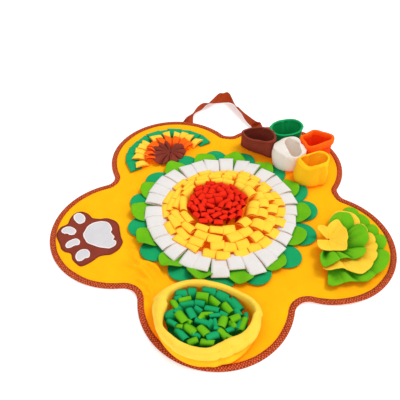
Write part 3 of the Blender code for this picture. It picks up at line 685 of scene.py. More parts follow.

# Cups: fleece tubes with a turned hem and a sewn-in bottom, each rim listed, on a rounded square foot
cup = {"wall": 0.0034, "around": 112, "foot": sewnOn, "hemFrom": 0.72, "dent": 0.0016, "fineDent": 0.0009,
       "seamRidge": 0.0009, "unevenRim": 0.0008}
cups = [  # rim: bearing, distance, height; pleats: bearing, spread, depth; bulges: and how high up; all in mm
    {"name": "cupBrown", "material": brownFelt, "base": (0.100, 0.298), "top": (0.0969, 0.2875),
     "close": 1.0, "belly": 0.02, "hem": 0.0016, "cuff": 0.90, "seam": 205,
     "pleats": ((62, 7, 8), (150, 9, 7), (330, 8, 4)), "foot": (
         (12, 35), (57, 33), (105, 38), (137, 50), (158, 59), (172, 59), (192, 43), (241, 30), (292, 43),
         (310, 64), (322, 60), (343, 45),
     ),
     "rim": (
         (15, 41, 77), (48, 35, 74), (91, 36, 70), (122, 43, 65), (142, 51, 62), (157, 56, 60), (176, 46, 60),
         (205, 37, 63), (240, 35, 67), (275, 38.5, 70), (301, 52, 74), (318, 60, 77), (335, 56, 78),
         (350, 49, 78),
     )},
    {"name": "cupGreen", "material": greenFleece, "base": (0.185, 0.333), "top": (0.1803, 0.3202),
     "close": 1.0, "belly": 0.01, "hem": 0.0016, "cuff": 0.90, "seam": 300,
     "pleats": ((108, 8, 11), (75, 6, 5), (215, 7, 4)),
     "halfWidth": 0.045, "halfDepth": 0.033, "turn": 12, "square": 2.2, "rim": (
         (2, 52.4, 75), (22, 55.5, 76), (46, 54.5, 76), (71, 48.3, 75), (101, 41.5, 75), (136, 40.4, 75),
         (166, 45.9, 75), (191, 50.5, 75), (204, 50, 73), (220, 47, 72), (246, 42.5, 73), (277, 39, 73),
         (311, 41.1, 74), (339, 47.7, 75),
     )},
    {"name": "cupOrange", "material": orangeFleece, "base": (0.275, 0.274), "top": (0.2730, 0.2703),
     "close": 1.0, "belly": 0.01, "hem": 0.0045, "cuff": 0.70, "seam": 280,
     "pleats": ((120, 8, 6), (40, 6, 4)), "lining": shadedOrangeFleece,
     "halfWidth": 0.042, "halfDepth": 0.036, "turn": 30, "square": 3.2, "rim": (
         (3, 47.9, 77), (21, 52.5, 77), (40, 44, 77), (58, 39.5, 76), (80, 38.5, 77), (98, 40, 78),
         (125, 36, 77), (149, 36.5, 76), (172, 46.5, 77), (184, 47.8, 77), (210, 43, 75), (237, 48.5, 74),
         (255, 38, 74), (279, 30.5, 75), (310, 29, 76), (332, 32.5, 77),
     )},
    {"name": "cupWhite", "material": whiteFleece, "base": (0.187, 0.227), "top": (0.2040, 0.2290),
     "close": 3.2, "belly": 0.03, "hem": 0.0, "cuff": 0.90, "seam": 250,
     "pleats": ((165, 12, 9), (95, 8, 6), (30, 10, 5)),
     "bulges": ((168, 34, 13, 2.2), (225, 16, -5, 1.6), (110, 20, 6, 2.0), (290, 25, 5, 0.8),
                (5, 34, 11, 2.4)),
     "halfWidth": 0.044, "halfDepth": 0.038, "turn": -6, "square": 2.2, "rim": (
         (5, 20, 69), (44, 27, 72), (72, 43, 73), (96, 47, 74), (120, 45, 73), (142, 40, 71), (168, 29, 69),
         (195, 25, 68), (226, 28, 65), (255, 38, 62), (277, 39, 61), (296, 38, 62), (318, 32, 65),
         (340, 24, 67),
     )},
    {"name": "cupYellow", "material": cupFleece, "base": (0.253, 0.161), "top": (0.2611, 0.1656),
     "close": 1.2, "belly": 0.04, "hem": 0.0006, "cuff": 0.90, "seam": 300,
     "pleats": ((128, 9, 12), (170, 12, 6), (60, 8, 5)),
     "bulges": ((200, 40, 5, 0.7), (312, 10, -6, 0.6), (330, 9, 5, 0.5), (268, 30, 4, 0.6)),
     "halfWidth": 0.047, "halfDepth": 0.036, "turn": 8, "square": 2.4, "rim": (
         (0, 38.5, 80), (19, 43, 81), (47, 43, 82), (70, 38, 82), (95, 31, 80), (130, 31, 78), (160, 40, 78),
         (180, 48, 80), (201, 42, 78), (222, 35, 70), (242, 31, 71), (262, 29, 77), (302, 28.5, 80),
         (342, 34.6, 80),
     )},
]
cupRows = np.array([  # share of height, share of width, hem outwards, wall inwards: up outside, down inside
    (0, 0, 0, 0), (0, 0.4, 0, 0), (0, 0.82, 0, 0), (0.01, 0.9, 0, 0), (0.04, 0.96, 0, 0), (0.09, 0.99, 0, 0),
    (0.16, 1, 0, 0), (0.25, 1, 0, 0), (0.36, 1, 0, 0), (0.48, 1, 0, 0), (0.58, 1, 0, 0), (0.67, 1, 0, 0),
    (0.725, 1, -0.2, 0), (0.745, 1, 0.7, 0), (0.77, 1, 1, 0), (0.84, 1, 1.1, 0), (0.92, 1, 1.1, 0),
    (0.97, 1, 0.8, 0), (0.995, 1, 0.2, 0.2), (1, 1, 0, 0.7), (0.99, 1, 0, 1.2), (0.96, 1, 0, 1.5),
    (0.88, 1, 0, 1.6), (0.78, 1, 0, 1.5), (0.75, 1, 0, 1.1), (0.68, 1, 0, 1), (0.54, 1, 0, 1),
    (0.38, 1, 0, 1), (0.24, 0.99, 0, 1), (0.12, 0.96, 0, 1), (0.065, 0.88, 0, 1), (0.055, 0.6, 0, 1),
    (0.05, 0.3, 0, 0.5), (0.05, 0, 0, 0),
])
cupCuffRows = (12, 23)  # the turned cuff's first row and the one after its last


def cupGrid(spec, seed):
    # The wall goes by share^close from the foot, listed or ((|cos|/a)^n + (|sin|/b)^n)^(-1/n) out, to
    # the rim. Pleats press its inside inwards, most of all low down.
    bearing = np.linspace(0, 360, cup["around"], endpoint=False)
    turn = np.radians(bearing)
    rim = aroundTable(bearing, spec["rim"])
    share, width, hem, inner = cupRows.T[:, :, None]
    if "foot" in spec:
        foot = aroundTable(bearing, spec["foot"])[:, 0]
    else:
        angle = np.radians(bearing - spec["turn"])
        n = spec["square"]
        foot = (
            np.abs(np.cos(angle) / spec["halfWidth"]) ** n + np.abs(np.sin(angle) / spec["halfDepth"]) ** n
        ) ** (-1 / n)
    mix = share ** spec["close"]
    radius = (foot * (1 - mix) + rim[:, 0] * mix) * (1 + spec["belly"] * np.sin(math.pi * share))
    for place, spread, depth, top in spec.get("bulges", ()):
        radius = radius + depth / 1000 * aroundBell(turn, place, spread) * np.sin(math.pi * share**top)
    dent = cup["dent"] * wobble(turn + share * 1.6, seed, first=2)
    dent = dent + cup["fineDent"] * wobble(turn * 2 + share * 5, seed + 1, first=3)
    dent = dent * easeIn(share, 0.05, 0.5) * (1 - 0.5 * easeIn(share, 0.9, 1))
    seam = cup["seamRidge"] * aroundBell(turn, spec["seam"], 3) * (inner < 0.5)
    pleats = sum(
        depth / 1000 * aroundBell(turn, place, spread * (2.4 - 1.8 * share))
        for place, spread, depth in spec["pleats"]
    )
    pleats = pleats * (inner > 0.9) * easeIn(1 - share, 0.02, 0.5) * easeIn(share, 0.05, 0.15)
    change = spec["hem"] * hem - cup["wall"] * inner + dent + seam - pleats
    plan = direction(bearing) * (radius * width + change * (width > 0.5))[..., None]
    middle = np.array(spec["base"]) * (1 - mix[..., None]) + np.array(spec["top"]) * mix[..., None]
    cuffShare = 1 - (1 - share) * (1 - spec["cuff"]) / (1 - cup["hemFrom"])
    share = np.where(share > cup["hemFrom"], cuffShare, share)
    height = share * (rim[:, 1] - cup["foot"] + cup["unevenRim"] * wobble(turn, seed + 2, first=3))
    return raised(middle + plan, cup["foot"] + height)


for number, spec in enumerate(cups):
    grid = cupGrid(spec, seed=40 + 5 * number)
    piece = clothMesh(spec["name"], grid, spec["material"], wrapV=True)
    if "lining" in spec:  # painted shade: the wall below the turned cuff and the inside take a darker, redder copy of the orange fleece
        row = np.repeat(np.arange(len(cupRows) - 1), cup["around"])
        secondCloth(piece, spec["lining"], (row < cupCuffRows[0]) | (row >= cupCuffRows[1]))
    dress(closeSeams(piece))
    (depth, length), area = cutSize(np.concatenate([grid, grid[:, :1]], 1))
print("cups made")

# The pouch: a low round wall with a thick collar rolled outwards, and two coils of cloth loops on its floor
pouch = {"middle": np.array([-0.0185, -0.3665]), "foot": sewnOn, "around": 220, "cloth": 0.002, "lap": 0.0042,
         "fine": (0.0007, 0.0003), "crease": 0.0026}
pouchRim = (  # bearing, then distances in mm of the rim's inner side, its crest, the cuff's edge and the foot
    (10, 108, 114, 124, 116), (24, 103, 109, 119, 112), (45, 89, 94.5, 106, 103), (75, 82, 88, 100, 98),
    (104, 87, 94.5, 106, 103), (125, 97, 104, 115, 110), (149, 101, 110, 123, 112), (168, 94, 108, 127, 113),
    (184, 98, 108, 118, 112), (200, 99, 106, 112.5, 110), (223, 89, 96, 106, 105), (247, 82, 89, 101, 103),
    (277, 79, 86, 99, 102.5), (300, 73, 82, 100, 105), (318, 76, 87, 106, 110), (334, 89, 98, 115, 112),
    (352, 100, 107, 121, 113),
)
pouchProfile = np.array([  # shares of foot, cuff edge, crest, inner side; more outwards, and height, in mm
    (1, 0, 0, 0, -4, 1.5), (1, 0, 0, 0, 0.5, 6), (1, 0, 0, 0, 1, 13), (0.6, 0.4, 0, 0, -4, 21),
    (0.1, 0.9, 0, 0, -6, 25.5), (0, 1, 0, 0, -1.5, 26.5), (0, 1, 0, 0, 1, 30), (0, 1, 0, 0, 0.2, 35),
    (0, 0.72, 0.28, 0, 0.5, 41), (0, 0.55, 0.45, 0, -0.5, 43.6), (0, 0.38, 0.62, 0, 1, 46.5),
    (0, 0.1, 0.9, 0, 0.5, 49.5), (0, 0, 0.75, 0.25, 0, 50.2), (0, 0, 0.35, 0.65, 0, 49.4),
    (0, 0, 0.05, 0.95, 0, 46.5), (0, 0, 0, 1, -0.5, 41), (0, 0, 0, 1, 0, 33), (0.05, 0, 0, 0.95, 0.5, 26),
    (0.1, 0, 0, 0.9, 0, 16), (0.1, 0, 0, 0.9, -1, 8), (0.1, 0, 0, 0.9, -3, 2.5),
])
pouchProfile[:, 4:] /= 1000
pouchCuffRows = (5, 7, 16, 17)  # where the cuff starts, the creases end, the cuff ends and the laps end
pouchTucks = (  # bearing, spread, depth
    (292, 2.4, 0.0022), (311, 2.2, 0.0028), (330, 4, 0.002), (226, 5, 0.0015),
)
pouchLaps = ((163, -1), (7, 1))  # bearing, and the side on which the cuff lies on top


def pouchGrid():
    # the profile carried round the rim, with laps and small tucks in the cuff, and creases in the front wall
    bearing = np.linspace(0, 360, pouch["around"], endpoint=False)
    angle = np.radians(bearing)[:, None]
    reach = aroundTable(bearing, pouchRim)[:, ::-1] @ pouchProfile[:, :4].T + pouchProfile[:, 4]
    up = pouchProfile[:, 5]
    row = np.arange(len(pouchProfile))
    cuff = easeIn(up, 0.026, 0.030) * (row < pouchCuffRows[3])
    lap = 0
    for place, side in pouchLaps:
        away = ((np.degrees(angle) - place + 180) % 360 - 180) * side
        lap = lap + pouch["lap"] * easeIn(away, -0.9, 0.9) * (1 - easeIn(away, 8, 45))
    slow, quick = pouch["fine"]
    fine = slow * wobble(angle * 2, 61, first=3) + quick * wobble(angle * 7, 62, first=3)
    crease = pouch["crease"] * np.sin(angle * 13 + 1.6 * np.sin(angle * 5)) * aroundBell(angle, 296, 38)
    crease = crease * easeIn(up, 0.002, 0.012) * (1 - easeIn(up, 0.024, 0.030)) * (row < pouchCuffRows[1])
    tuck = sum(depth * aroundBell(angle, place, spread) for place, spread, depth in pouchTucks)
    reach = reach + fine * (0.3 + cuff) + (lap - tuck * (up < 0.046)) * cuff + crease
    sag = 1 + 0.03 * np.sin(angle * 2 + 0.4) + 0.025 * wobble(angle, 63, first=3)
    sag = sag - 0.05 * aroundBell(angle, 285, 40)
    plan = pouch["middle"] + direction(bearing)[:, None] * reach[..., None]
    return raised(plan, pouch["foot"] + up * sag + lap * cuff * 0.5)


grid = pouchGrid()
pouchWall = clothMesh("pouchWall", grid, paleYellowFleece, wrapU=True)
row = np.tile(np.arange(len(pouchProfile) - 1), pouch["around"])
underCuff = (row < pouchCuffRows[0]) | (row >= pouchCuffRows[2])
secondCloth(pouchWall, shadedPaleYellowFleece, underCuff)  # painted shade: a darker copy of the collar's fleece below the cuff and inside
dress(thicken(pouchWall, pouch["cloth"]))
declareSheet(pouchWall, closed(grid))

# a round of dark green felt under the loops: painted shade in the gaps between them
lining = {"share": 0.90, "rise": 0.0012, "felt": 0.001, "around": 96, "rings": 12}
bearing = np.linspace(0, 360, lining["around"], endpoint=False)
edge = direction(bearing) * aroundTable(bearing, pouchRim)[:, :1] * lining["share"]
liningPlan = pouch["middle"] + edge * np.linspace(0, 1, lining["rings"])[:, None, None]
liningGrid = raised(liningPlan, sewnOn + lining["rise"])
sewDisc("pouchLining", liningGrid, darkGreenFelt, lining["felt"], standsForNode=False)

pouchLoop = {"foot": sewnOn + 0.0024, "rise": 0.0315, "half": 0.0070, "quick": 2.6, "fat": 0.15,
             "skew": 0.004, "twist": 0.006, "wider": 1.02, "longer": 1.08, "usualLean": 0.017,
             "rootedBack": 0.55}
pouchCoils = (  # each loop's place in mm from the pouch's middle, the way it leans, its width and lean in mm
    ("pouchLoopsDark", darkGreenFelt, (
        (-64, 64, 98, 29, 20), (-38, 70, 104, 20, 19), (2, 75, 80, 33, 20), (34, 63, 64, 31, 22),
        (65, 42, 40, 36, 22), (-48, 36, 101, 34, 12), (12, 28, -102, 33, 15), (19, 13, -68, 27, 14),
        (-33, 10, -148, 28, 18), (-83, 4, 124, 26, 20), (-8, -8, -101, 32, 15), (74, -7, -14, 30, 12),
        (-51, -43, -133, 36, 18), (17, -42, -69, 29, 20), (-75, -17, -118, 25, 14), (54, -22, -53, 19, 14),
        (29, -22, -97, 18, 12), (-18, 38, 83, 24, 12), (38, 14, 60, 21, 12), (-17, -41, -107, 20, 14),
        (70, 22, 20, 22, 14), (-70, 50, 120, 18, 12), (50, 52, 60, 16, 10), (20, -12, 30, 20, 13),
        (10, -14, 140, 18, 12), (90, 12, 10, 20, 10), (-20, 22, 60, 20, 12), (-66, 16, 150, 22, 12),
    )),
    ("pouchLoopsLight", lightGreenFelt, (
        (-13, 57, 85, 29, 19), (-53, 48, 104, 30, 13), (15, 48, 52, 31, 15), (46, 32, 39, 29, 17),
        (-73, 30, -147, 26, 15), (2, 15, -80, 27, 12), (-55, 0, -140, 36, 22), (-33, -27, -121, 34, 22),
        (37, -5, -19, 29, 22), (65, 6, -63, 24, 19), (83, -9, -18, 34, 15), (-26, -58, -63, 24, 17),
        (-2, -31, -139, 27, 20), (42, -34, -127, 25, 18), (8, -58, -99, 30, 17), (61, -11, 30, 19, 13),
        (-59, -24, -97, 19, 12), (53, -41, -108, 18, 11), (-10, 2, 150, 18, 11), (-40, -10, 60, 18, 11),
    )),
)
for number, (name, material, coil) in enumerate(pouchCoils):
    x, y, bearing, width, lean = np.array(coil).T / np.array([[1000], [1000], [1], [1000], [1000]])
    jitter = np.random.default_rng(71 + number).uniform(-1, 1, (4, len(coil)))
    out = direction(bearing)
    plan = np.stack([x, y], -1) + pouch["middle"] - out * lean[:, None] * pouchLoop["rootedBack"]
    half = pouchLoop["half"] * np.clip(lean / pouchLoop["usualLean"], 0.7, 1.15)
    rise = pouchLoop["rise"] * (1 + 0.10 * jitter[0])
    skew, twist = pouchLoop["skew"] * jitter[1], pouchLoop["twist"] * jitter[2]
    sizes = width * pouchLoop["wider"], lean * pouchLoop["longer"], rise, half
    bends = pouchLoop["quick"], 0, skew, twist, pouchLoop["fat"], 0
    sewCloth(name, clothLoops(raised(plan, pouchLoop["foot"]), out, sizes, bends), material)
print("pouch made")

# The ruffles: gathered strips, each standing inside the one before, open towards the flower
wideRuffle = {"centre": (0.285, -0.100), "puff": 0.003, "drop": 0.010, "roll": 0.002, "gathers": 6,
              "low": 0.002, "bowl": 0.75, "crimp": 0.0016}
ruffles = [  # edge: bearing, root, tip, height in mm; valleys: bearing, spread, depth as a share; hollows:
             # bearing, spread, share of the way out, depth in mm
    {**wideRuffle, "name": "ruffle1", "material": lightGreenFelt, "seed": 81,
     "hollows": ((-87, 8, 0.55, 14), (-66, 4, 0.7, 6)),
     "valleys": ((33, 4, 1.0), (17, 4, 1.0), (-4, 4, 1.1), (-41, 5, 0.9), (-63, 4, 0.9), (-80, 5, 0.5),
                 (50, 4, 0.5)),
     "edge": (
         (-97, 66, 137, 22), (-93, 66, 141, 24), (-85, 66, 137, 26), (-76, 66, 133, 27), (-67, 66, 134, 26),
         (-58, 80, 145, 26), (-46, 80, 146, 27), (-36, 94, 150, 26), (-28, 94, 152.6, 27),
         (-19, 94, 152.7, 28), (-11, 94, 152, 28), (-4, 94, 147, 27), (3, 94, 149, 28), (10, 94, 149, 28),
         (18, 94, 147.6, 28), (25, 94, 145, 28), (33, 94, 145.8, 28), (45, 94, 146, 28), (52, 94, 149, 26),
         (60, 94, 150, 24), (66, 94, 145, 20), (70, 94, 131, 14),
     )},
    {**wideRuffle, "name": "ruffle2", "material": ruffleFelt, "seed": 82, "drop": 0.009,
     "hollows": ((-104, 9, 0.45, 12),),
     "valleys": ((19, 3.5, 0.8), (37, 3.5, 0.7), (0, 4, 0.6), (-14, 4, 0.6), (-32, 5, 0.5), (-70, 5, 0.8)),
     "edge": (
         (-105, 18, 98, 30), (-98, 18, 102, 33), (-85, 18, 97, 35), (-74, 18, 98, 35), (-66, 26, 113, 34),
         (-57, 32, 125.4, 32), (-49, 34, 125.5, 33), (-38, 42, 124.7, 34), (-26, 56, 123.7, 35),
         (-15, 66, 122, 36), (-5, 66, 120.6, 36), (4, 66, 119, 36), (14, 66, 115.5, 36), (24, 66, 112, 36),
         (33, 66, 113, 36), (46, 66, 115, 36), (54, 66, 118.7, 36), (63, 66, 118, 34), (70, 66, 116, 32),
         (76, 66, 108, 30), (82, 66, 90, 26), (86, 66, 74, 20),
     )},
    {**wideRuffle, "name": "ruffle3", "material": lightGreenFelt, "seed": 83, "puff": 0.006, "drop": 0.013,
     "gathers": 5, "bowl": 0.8, "crimp": 0.0022, "hollows": ((-108, 8, 0.50, 14),),
     "valleys": ((40, 6, 1.1), (-13, 6, 1.1), (-50, 6, 0.8), (-74, 7, 0.7), (14, 4, 0.25)),
     "edge": (
         (-119, 12, 62, 34), (-112, 12, 84, 37), (-105, 6, 100, 40), (-98, 12, 95, 43), (-86, 12, 83, 45),
         (-72, 12, 74, 45), (-57, 26, 78, 43), (-47, 26, 89, 42), (-38, 26, 93, 44), (-26, 42, 94, 45),
         (-13, 42, 94, 44), (-4, 42, 97, 46), (11, 42, 100, 46), (22, 42, 102, 46), (33, 42, 101, 45),
         (40, 42, 98, 44), (48, 42, 100, 45), (56, 42, 105, 45), (64, 42, 103, 43), (72, 42, 99, 40),
         (79, 42, 86, 36), (85, 42, 68, 32), (90, 42, 50, 26),
     )},
    {"name": "ruffle4", "material": ruffleFelt, "seed": 84, "centre": (0.284, -0.088), "puff": 0.0,
     "drop": 0.003, "roll": 0.001, "gathers": 4, "low": 0.012, "bowl": 1.1, "crimp": 0.0010,
     "valleys": ((101, 9, 0.3), (-30, 10, 0.2), (-85, 9, 0.3)),
     "edge": (
         (-152, 3, 37, 33), (-145, 3, 41, 34), (-136, 3, 48, 36), (-127, 3, 53, 36), (-116, 3, 56, 36),
         (-99, 3, 53, 34), (-73, 3, 53, 34), (-52, 3, 60, 37), (-34, 3, 51, 40), (-12, 3, 47, 40),
         (23, 3, 48, 41), (46, 3, 50, 42), (64, 3, 56, 43), (76, 3, 47, 41), (85, 3, 37, 40), (97, 3, 30, 40),
         (116, 3, 32, 41), (134, 3, 38, 41), (146, 3, 36, 39), (152, 3, 35, 38),
     )},
    {"name": "fanBrown", "material": brownFelt, "seed": 85, "centre": (-0.178, 0.240), "puff": 0.004,
     "drop": 0.012, "roll": 0.004, "gathers": 9, "low": 0.010, "bowl": 0.9, "crimp": 0.0022,
     "valleys": ((-40, 8, 0.9), (-6, 6, 0.7), (25, 5, 1.1), (57, 8, 0.5), (90, 9, 1.7), (126, 6, 1.0),
                 (156, 8, 0.6), (182, 6, 1.2), (214, 8, 0.7), (245, 6, 1.1), (270, 6, 0.8)),
     "edge": (
         (-75, 3, 50, 20), (-50, 3, 48, 20), (-20, 3, 46, 20), (5, 3, 50, 23), (35, 3, 48, 27),
         (60, 3, 48, 30), (82, 3, 36, 27), (98, 3, 36, 27), (112, 3, 50, 31), (136, 3, 56, 31),
         (162, 3, 63, 30), (190, 3, 66, 29), (215, 3, 66, 26), (240, 3, 65, 23), (262, 3, 54, 21),
         (285, 3, 50, 20),
     )},
]
gathered = {"rows": 26, "around": 300, "felt": 0.002, "rise": 0.0012, "pinch": 0.008, "ripple": 0.0012,
            "rim": 0.0045, "hollowWidth": 0.28}


def gatheredGrid(strip):
    # The strip rises from "low" at its root by share^bowl and puffs up by sin(pi share) on its lobes. It drops
    # and narrows in the valleys between them. Its outer edge rolls over, and hollows are pressed into it.
    share = np.linspace(0, 1, gathered["rows"])[:, None]
    edge = placedByHand(strip["edge"])
    bearing = np.linspace(edge[0, 0], edge[-1, 0], gathered["around"])
    root, tip, top = curveThrough(bearing, edge[:, 0], edge[:, 1:]).T
    turn = np.radians(bearing)
    valley = 0
    for place, spread, depth in strip["valleys"]:
        valley = valley + depth * np.exp(-np.abs((bearing - place) / spread) ** 1.1)
    gathers = wobble(turn * strip["gathers"], strip["seed"], waves=4, first=3)
    ripple = gathered["ripple"] * wobble(turn * 3, strip["seed"] + 1, first=2) * share
    distance = root + (tip - root - gathered["pinch"] * valley * share) * share + ripple
    height = strip["low"] + (top - gathered["rim"] - strip["low"]) * share ** strip["bowl"]
    height = height + strip["puff"] * np.sin(math.pi * share) * (1 - valley)
    height = height - strip["drop"] * valley * share**0.7 - strip["roll"] * share**6
    height = height + strip["crimp"] * gathers * np.sin(math.pi * share**0.6) + ripple
    for place, spread, middle, depth in strip.get("hollows", ()):
        hollow = bell(bearing, place, spread) * bell(share, middle, gathered["hollowWidth"])
        height = height - depth / 1000 * hollow
    plan = np.array(strip["centre"]) + direction(bearing) * distance[..., None]
    return raised(plan, sewnOn + gathered["rise"] + np.maximum(height, 0))


for ruffle in ruffles:
    sewCloth(ruffle["name"], gatheredGrid(ruffle), ruffle["material"], gathered["felt"])
print("ruffles made")

# The fan flower: half rounds of tabs, opening towards the mat's edge, around the gathered brown piece
fan = {"bearing": 126, "sweep": 176}
fanTab = {"centre": (-0.172, 0.228), "foot": sewnOn + 0.001}
fanRounds = [
    ("fanGreen", darkGreenFelt, {
        **fanTab, "radius": 0.104, "count": 11, "fill": 1.16, "length": 0.038, "rise": 0.0060,
        "half": 0.0014, "quick": 2.5, "droop": 0.001, "skew": 0.004, "twist": 0.002, "fat": 0.3,
        "flare": 0.32, "uneven": 0.05, "yaw": 4, "shift": 0.001}),
    ("fanYellow", yellowFleece, {
        **fanTab, "radius": 0.078, "count": 12, "fill": 0.84, "length": 0.038, "rise": 0.0140,
        "half": 0.0026, "quick": 3.0, "droop": 0.001, "skew": 0.010, "twist": 0.005, "fat": 0.4,
        "flare": 0.40, "uneven": 0.10, "yaw": 12, "shift": 0.003}),
    ("fanOrange", orangeFleece, {
        **fanTab, "radius": 0.048, "count": 9, "fill": 1.05, "length": 0.036, "rise": 0.0195,
        "half": 0.0040, "quick": 3.4, "droop": 0.002, "skew": 0.012, "twist": 0.010, "fat": 0.4,
        "flare": 0.15, "uneven": 0.14, "yaw": 20, "shift": 0.004}),
]
for number, (name, material, spec) in enumerate(fanRounds):
    start = fan["bearing"] - fan["sweep"] / 2
    sewCloth(name, roundOfLoops(spec, seed=90 + number, start=start, sweep=fan["sweep"]), material)
print("fan made")

# The paw: a brown felt patch with five white pads, each edged with close satin stitch
paw = {"felt": 0.0015, "around": 240, "patchPuff": 0.0002, "padPuff": 0.0009, "padScale": 0.95,
       "patchWaver": 0.0009, "padWaver": 0.0005, "edgeWidth": 0.0034, "edgeHeight": 0.0028, "stitch": 0.0034,
       "stitchPitch": 0.0042, "stitchInset": 0.965, "thread": 0.0004, "wrinkle": 0.0004, "edgeSunk": 0.0001}
patchOutline = (  # in mm: the felt patch's outline, clockwise from its left end
    (-441.8, -124), (-440.4, -91.4), (-424.1, -77.6), (-422.8, -55.7), (-414.9, -36.5), (-400.6, -27.9),
    (-384.9, -30.4), (-371.9, -38.7), (-359.7, -49.6), (-343.1, -51.2), (-322.3, -47.7), (-295.2, -54.7),
    (-284.7, -66.5), (-274.6, -90.6), (-267.9, -110.8), (-259.6, -130.5), (-262, -147.3), (-271.2, -164.4),
    (-282, -173.4), (-296.3, -177.7), (-312.6, -183.8), (-322, -197.2), (-334.1, -209.1), (-351.7, -218.3),
    (-366.3, -210.2), (-378.2, -198.6), (-388.6, -178.7), (-403.7, -175), (-416.4, -166.2), (-427, -147.2),
)
padOutlines = (  # in mm: the palm, three-lobed at its broad end, and four toes, each with its own dents
    ("pawPadPalm", (
        (-372.2, -112.7), (-370.5, -98.6), (-365.6, -80.6), (-355, -69), (-340.5, -62.4), (-324.9, -60.1),
        (-313.3, -63.9), (-302.8, -75.6), (-297, -89.3), (-298.5, -98.1), (-292.3, -106.3), (-284, -117.7),
        (-286.2, -124.5), (-276.5, -132.3), (-274.5, -142.1), (-279.4, -149.2), (-288.3, -155.8),
        (-303.5, -156), (-319.4, -154), (-336, -148.7), (-353.2, -141.7), (-364.1, -129.1),
    )),
    ("pawPadToe1", (
        (-413.6, -46.2), (-403.9, -36.1), (-390.4, -40.7), (-380.1, -54.6), (-380.5, -69.2), (-389.7, -75.3),
        (-402.6, -67.3), (-411.7, -55.3),
    )),
    ("pawPadToe2", (
        (-433.1, -105.4), (-428.7, -94.5), (-418.2, -89), (-403.9, -92.5), (-392.9, -103.9), (-395.4, -114.5),
        (-405.3, -117), (-414.4, -112.6), (-423.4, -113.3),
    )),
    ("pawPadToe3", (
        (-405.9, -159.2), (-406.5, -146), (-398.6, -137), (-384.7, -130.1), (-374.7, -136.7),
        (-373.5, -148.4), (-384, -152.5), (-392.4, -159.8), (-400.6, -162.8),
    )),
    ("pawPadToe4", (
        (-371, -192.1), (-370.2, -176), (-361.2, -166.2), (-347.4, -165.1), (-337.5, -176.6),
        (-337.6, -189.4), (-346.7, -193.3), (-351.3, -200), (-360.4, -203.8),
    )),
)


def neighboursHeading(line):
    # the way along a closed line at each of its points, from the point before to the point after
    return unit(np.roll(line, -1, axis=0) - np.roll(line, 1, axis=0))


def closedOutline(corners, seed, waver, scale=1.0):
    # a closed cubic curve through the corners, anticlockwise, wavering as a hand-cut edge does
    corners = np.array(corners)[::-1] / 1000
    corners = corners.mean(0) + (corners - corners.mean(0)) * scale
    looped = np.vstack([corners[-3:], corners, corners[:3]])
    length = lengthsAlong(looped)
    line = curveThrough(
        np.linspace(length[3], length[3 + len(corners)], paw["around"], endpoint=False), length, looped
    )
    around = np.linspace(0, math.tau, paw["around"], endpoint=False)
    return line + rightOf(neighboursHeading(line)) * (waver * wobble(around * 3, seed, first=3))[:, None]


def flatPiece(name, outline, foot, puff, material, seed):
    # rings from the middle out to the outline, slightly puffed, with a soft wrinkle or two
    share = np.linspace(0, 1, 16)[:, None, None]
    centre = outline.mean(0)
    plan = centre + (outline - centre) * share
    wrinkle = 1 + np.sin(plan[..., 0] * 190 + seed) * np.sin(plan[..., 1] * 150 + 2 * seed)
    height = foot + paw["felt"] + (puff + paw["wrinkle"] * wrinkle) * (1 - share[..., 0] ** 4)
    sewDisc(name, raised(plan, height), material, paw["felt"])


def satinEdge(name, outline, foot):
    # a low half-round band along the outline, each thread a small step in it
    turn = np.linspace(0, math.tau, 10, endpoint=False)
    uneven = (1 + 0.10 * np.sin(np.arange(len(outline)) * math.pi * 0.66))[:, None]
    across = np.cos(turn) * paw["edgeWidth"] / 2 * uneven
    plan = outline[:, None] + rightOf(neighboursHeading(outline))[:, None] * across[..., None]
    grid = raised(plan, foot + paw["edgeHeight"] * (0.5 + 0.5 * np.sin(turn)))
    dress(closeSeams(clothMesh(name, grid, whiteThread, wrapU=True, wrapV=True)), standsForNode=False)


patch = closedOutline(patchOutline, 95, paw["patchWaver"])
flatPiece("pawPatch", patch, sewnOn, paw["patchPuff"], brownFelt, 1)
patchTop = sewnOn + paw["felt"]
seam = patch.mean(0) + (patch - patch.mean(0)) * paw["stitchInset"]
stitches(
    "patchStitches", seam, paw["stitchPitch"], paw["stitch"],
    lambda places: np.full(len(places), patchTop + paw["patchPuff"]), paw["thread"], brownThread,
)
for number, (name, corners) in enumerate(padOutlines):
    outline = closedOutline(corners, 96 + number, paw["padWaver"], paw["padScale"])
    flatPiece(name, outline, patchTop + gap, paw["padPuff"], padFelt, number + 2)
    satinEdge(name + "Edge", outline, patchTop + gap - paw["edgeSunk"])
print("paw made")

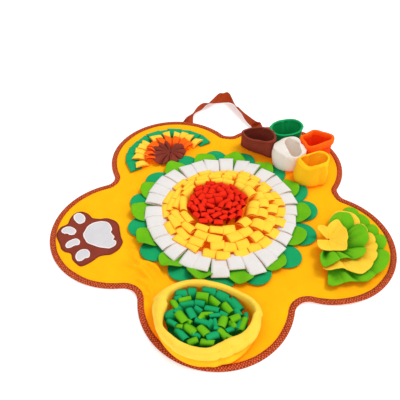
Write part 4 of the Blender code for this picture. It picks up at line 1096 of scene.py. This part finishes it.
# The studio: a pale floor, daylight from all round and a broad soft light from above and behind, at the right
studio = {"sky": 0.60, "key": 1.45, "keyFrom": (0.50, 0.30, 1.0), "keySoftness": 24, "fill": 0.85,
          "fillFrom": (-0.10, -1.0, 0.42), "fillSoftness": 70, "floor": "#F7F7F7", "floorGlow": 0.30,
          "floorCorners": ((-6, -6), (6, -6), (6, 6), (-6, 6)), "floorDrop": 0.0002}
floorMaterial, floorTree, floorShader = newMaterial("mattePaperFloor")
setInputs(floorTree, floorShader, {
    "Base Color": linear(studio["floor"]), "Roughness": 0.9,
    "Emission Color": (1, 1, 1, 1), "Emission Strength": studio["floorGlow"],  # keeps the shadows faint
})
floorMesh = bpy.data.meshes.new("floor")
floorMesh.from_pydata([(x, y, -studio["floorDrop"]) for x, y in studio["floorCorners"]], [], [(0, 1, 2, 3)])
newPiece("floor", floorMesh, floorMaterial)

world = bpy.data.worlds.new("studio")
world.use_nodes = True
sky = {"Color": (1, 1, 1, 1), "Strength": studio["sky"]}
setInputs(world.node_tree, world.node_tree.nodes["Background"], sky)
bpy.context.scene.world = world
for name in ("key", "fill"):
    light = bpy.data.lights.new(name, "SUN")
    light.energy = studio[name]
    light.angle = math.radians(studio[name + "Softness"])
    lamp = bpy.data.objects.new(name, light)
    lamp.rotation_mode = "QUATERNION"
    lamp.rotation_quaternion = Vector(studio[name + "From"]).to_track_quat("Z", "Y")
    bpy.context.scene.collection.objects.link(lamp)

# The camera stands in front, a little to the right, and looks down at about 45 degrees
view = {"place": (0.0294903, -0.99843734, 1.038819), "azimuth": -5.31, "elevation": 44.608, "roll": -0.5733,
        "lens": 45.904, "sensor": 36}
cameraData = bpy.data.cameras.new("camera")
cameraData.lens = view["lens"]
cameraData.sensor_width = view["sensor"]
camera = bpy.data.objects.new("camera", cameraData)
bpy.context.scene.collection.objects.link(camera)
camera.matrix_world = Matrix.Translation(view["place"])
for angle, axis in ((-view["azimuth"], "Z"), (90 - view["elevation"], "X"), (view["roll"], "Z")):
    camera.matrix_world = camera.matrix_world @ Matrix.Rotation(math.radians(angle), 4, axis)
bpy.context.scene.camera = camera
bpy.context.scene.view_settings.view_transform = "Standard"
print("studio made")
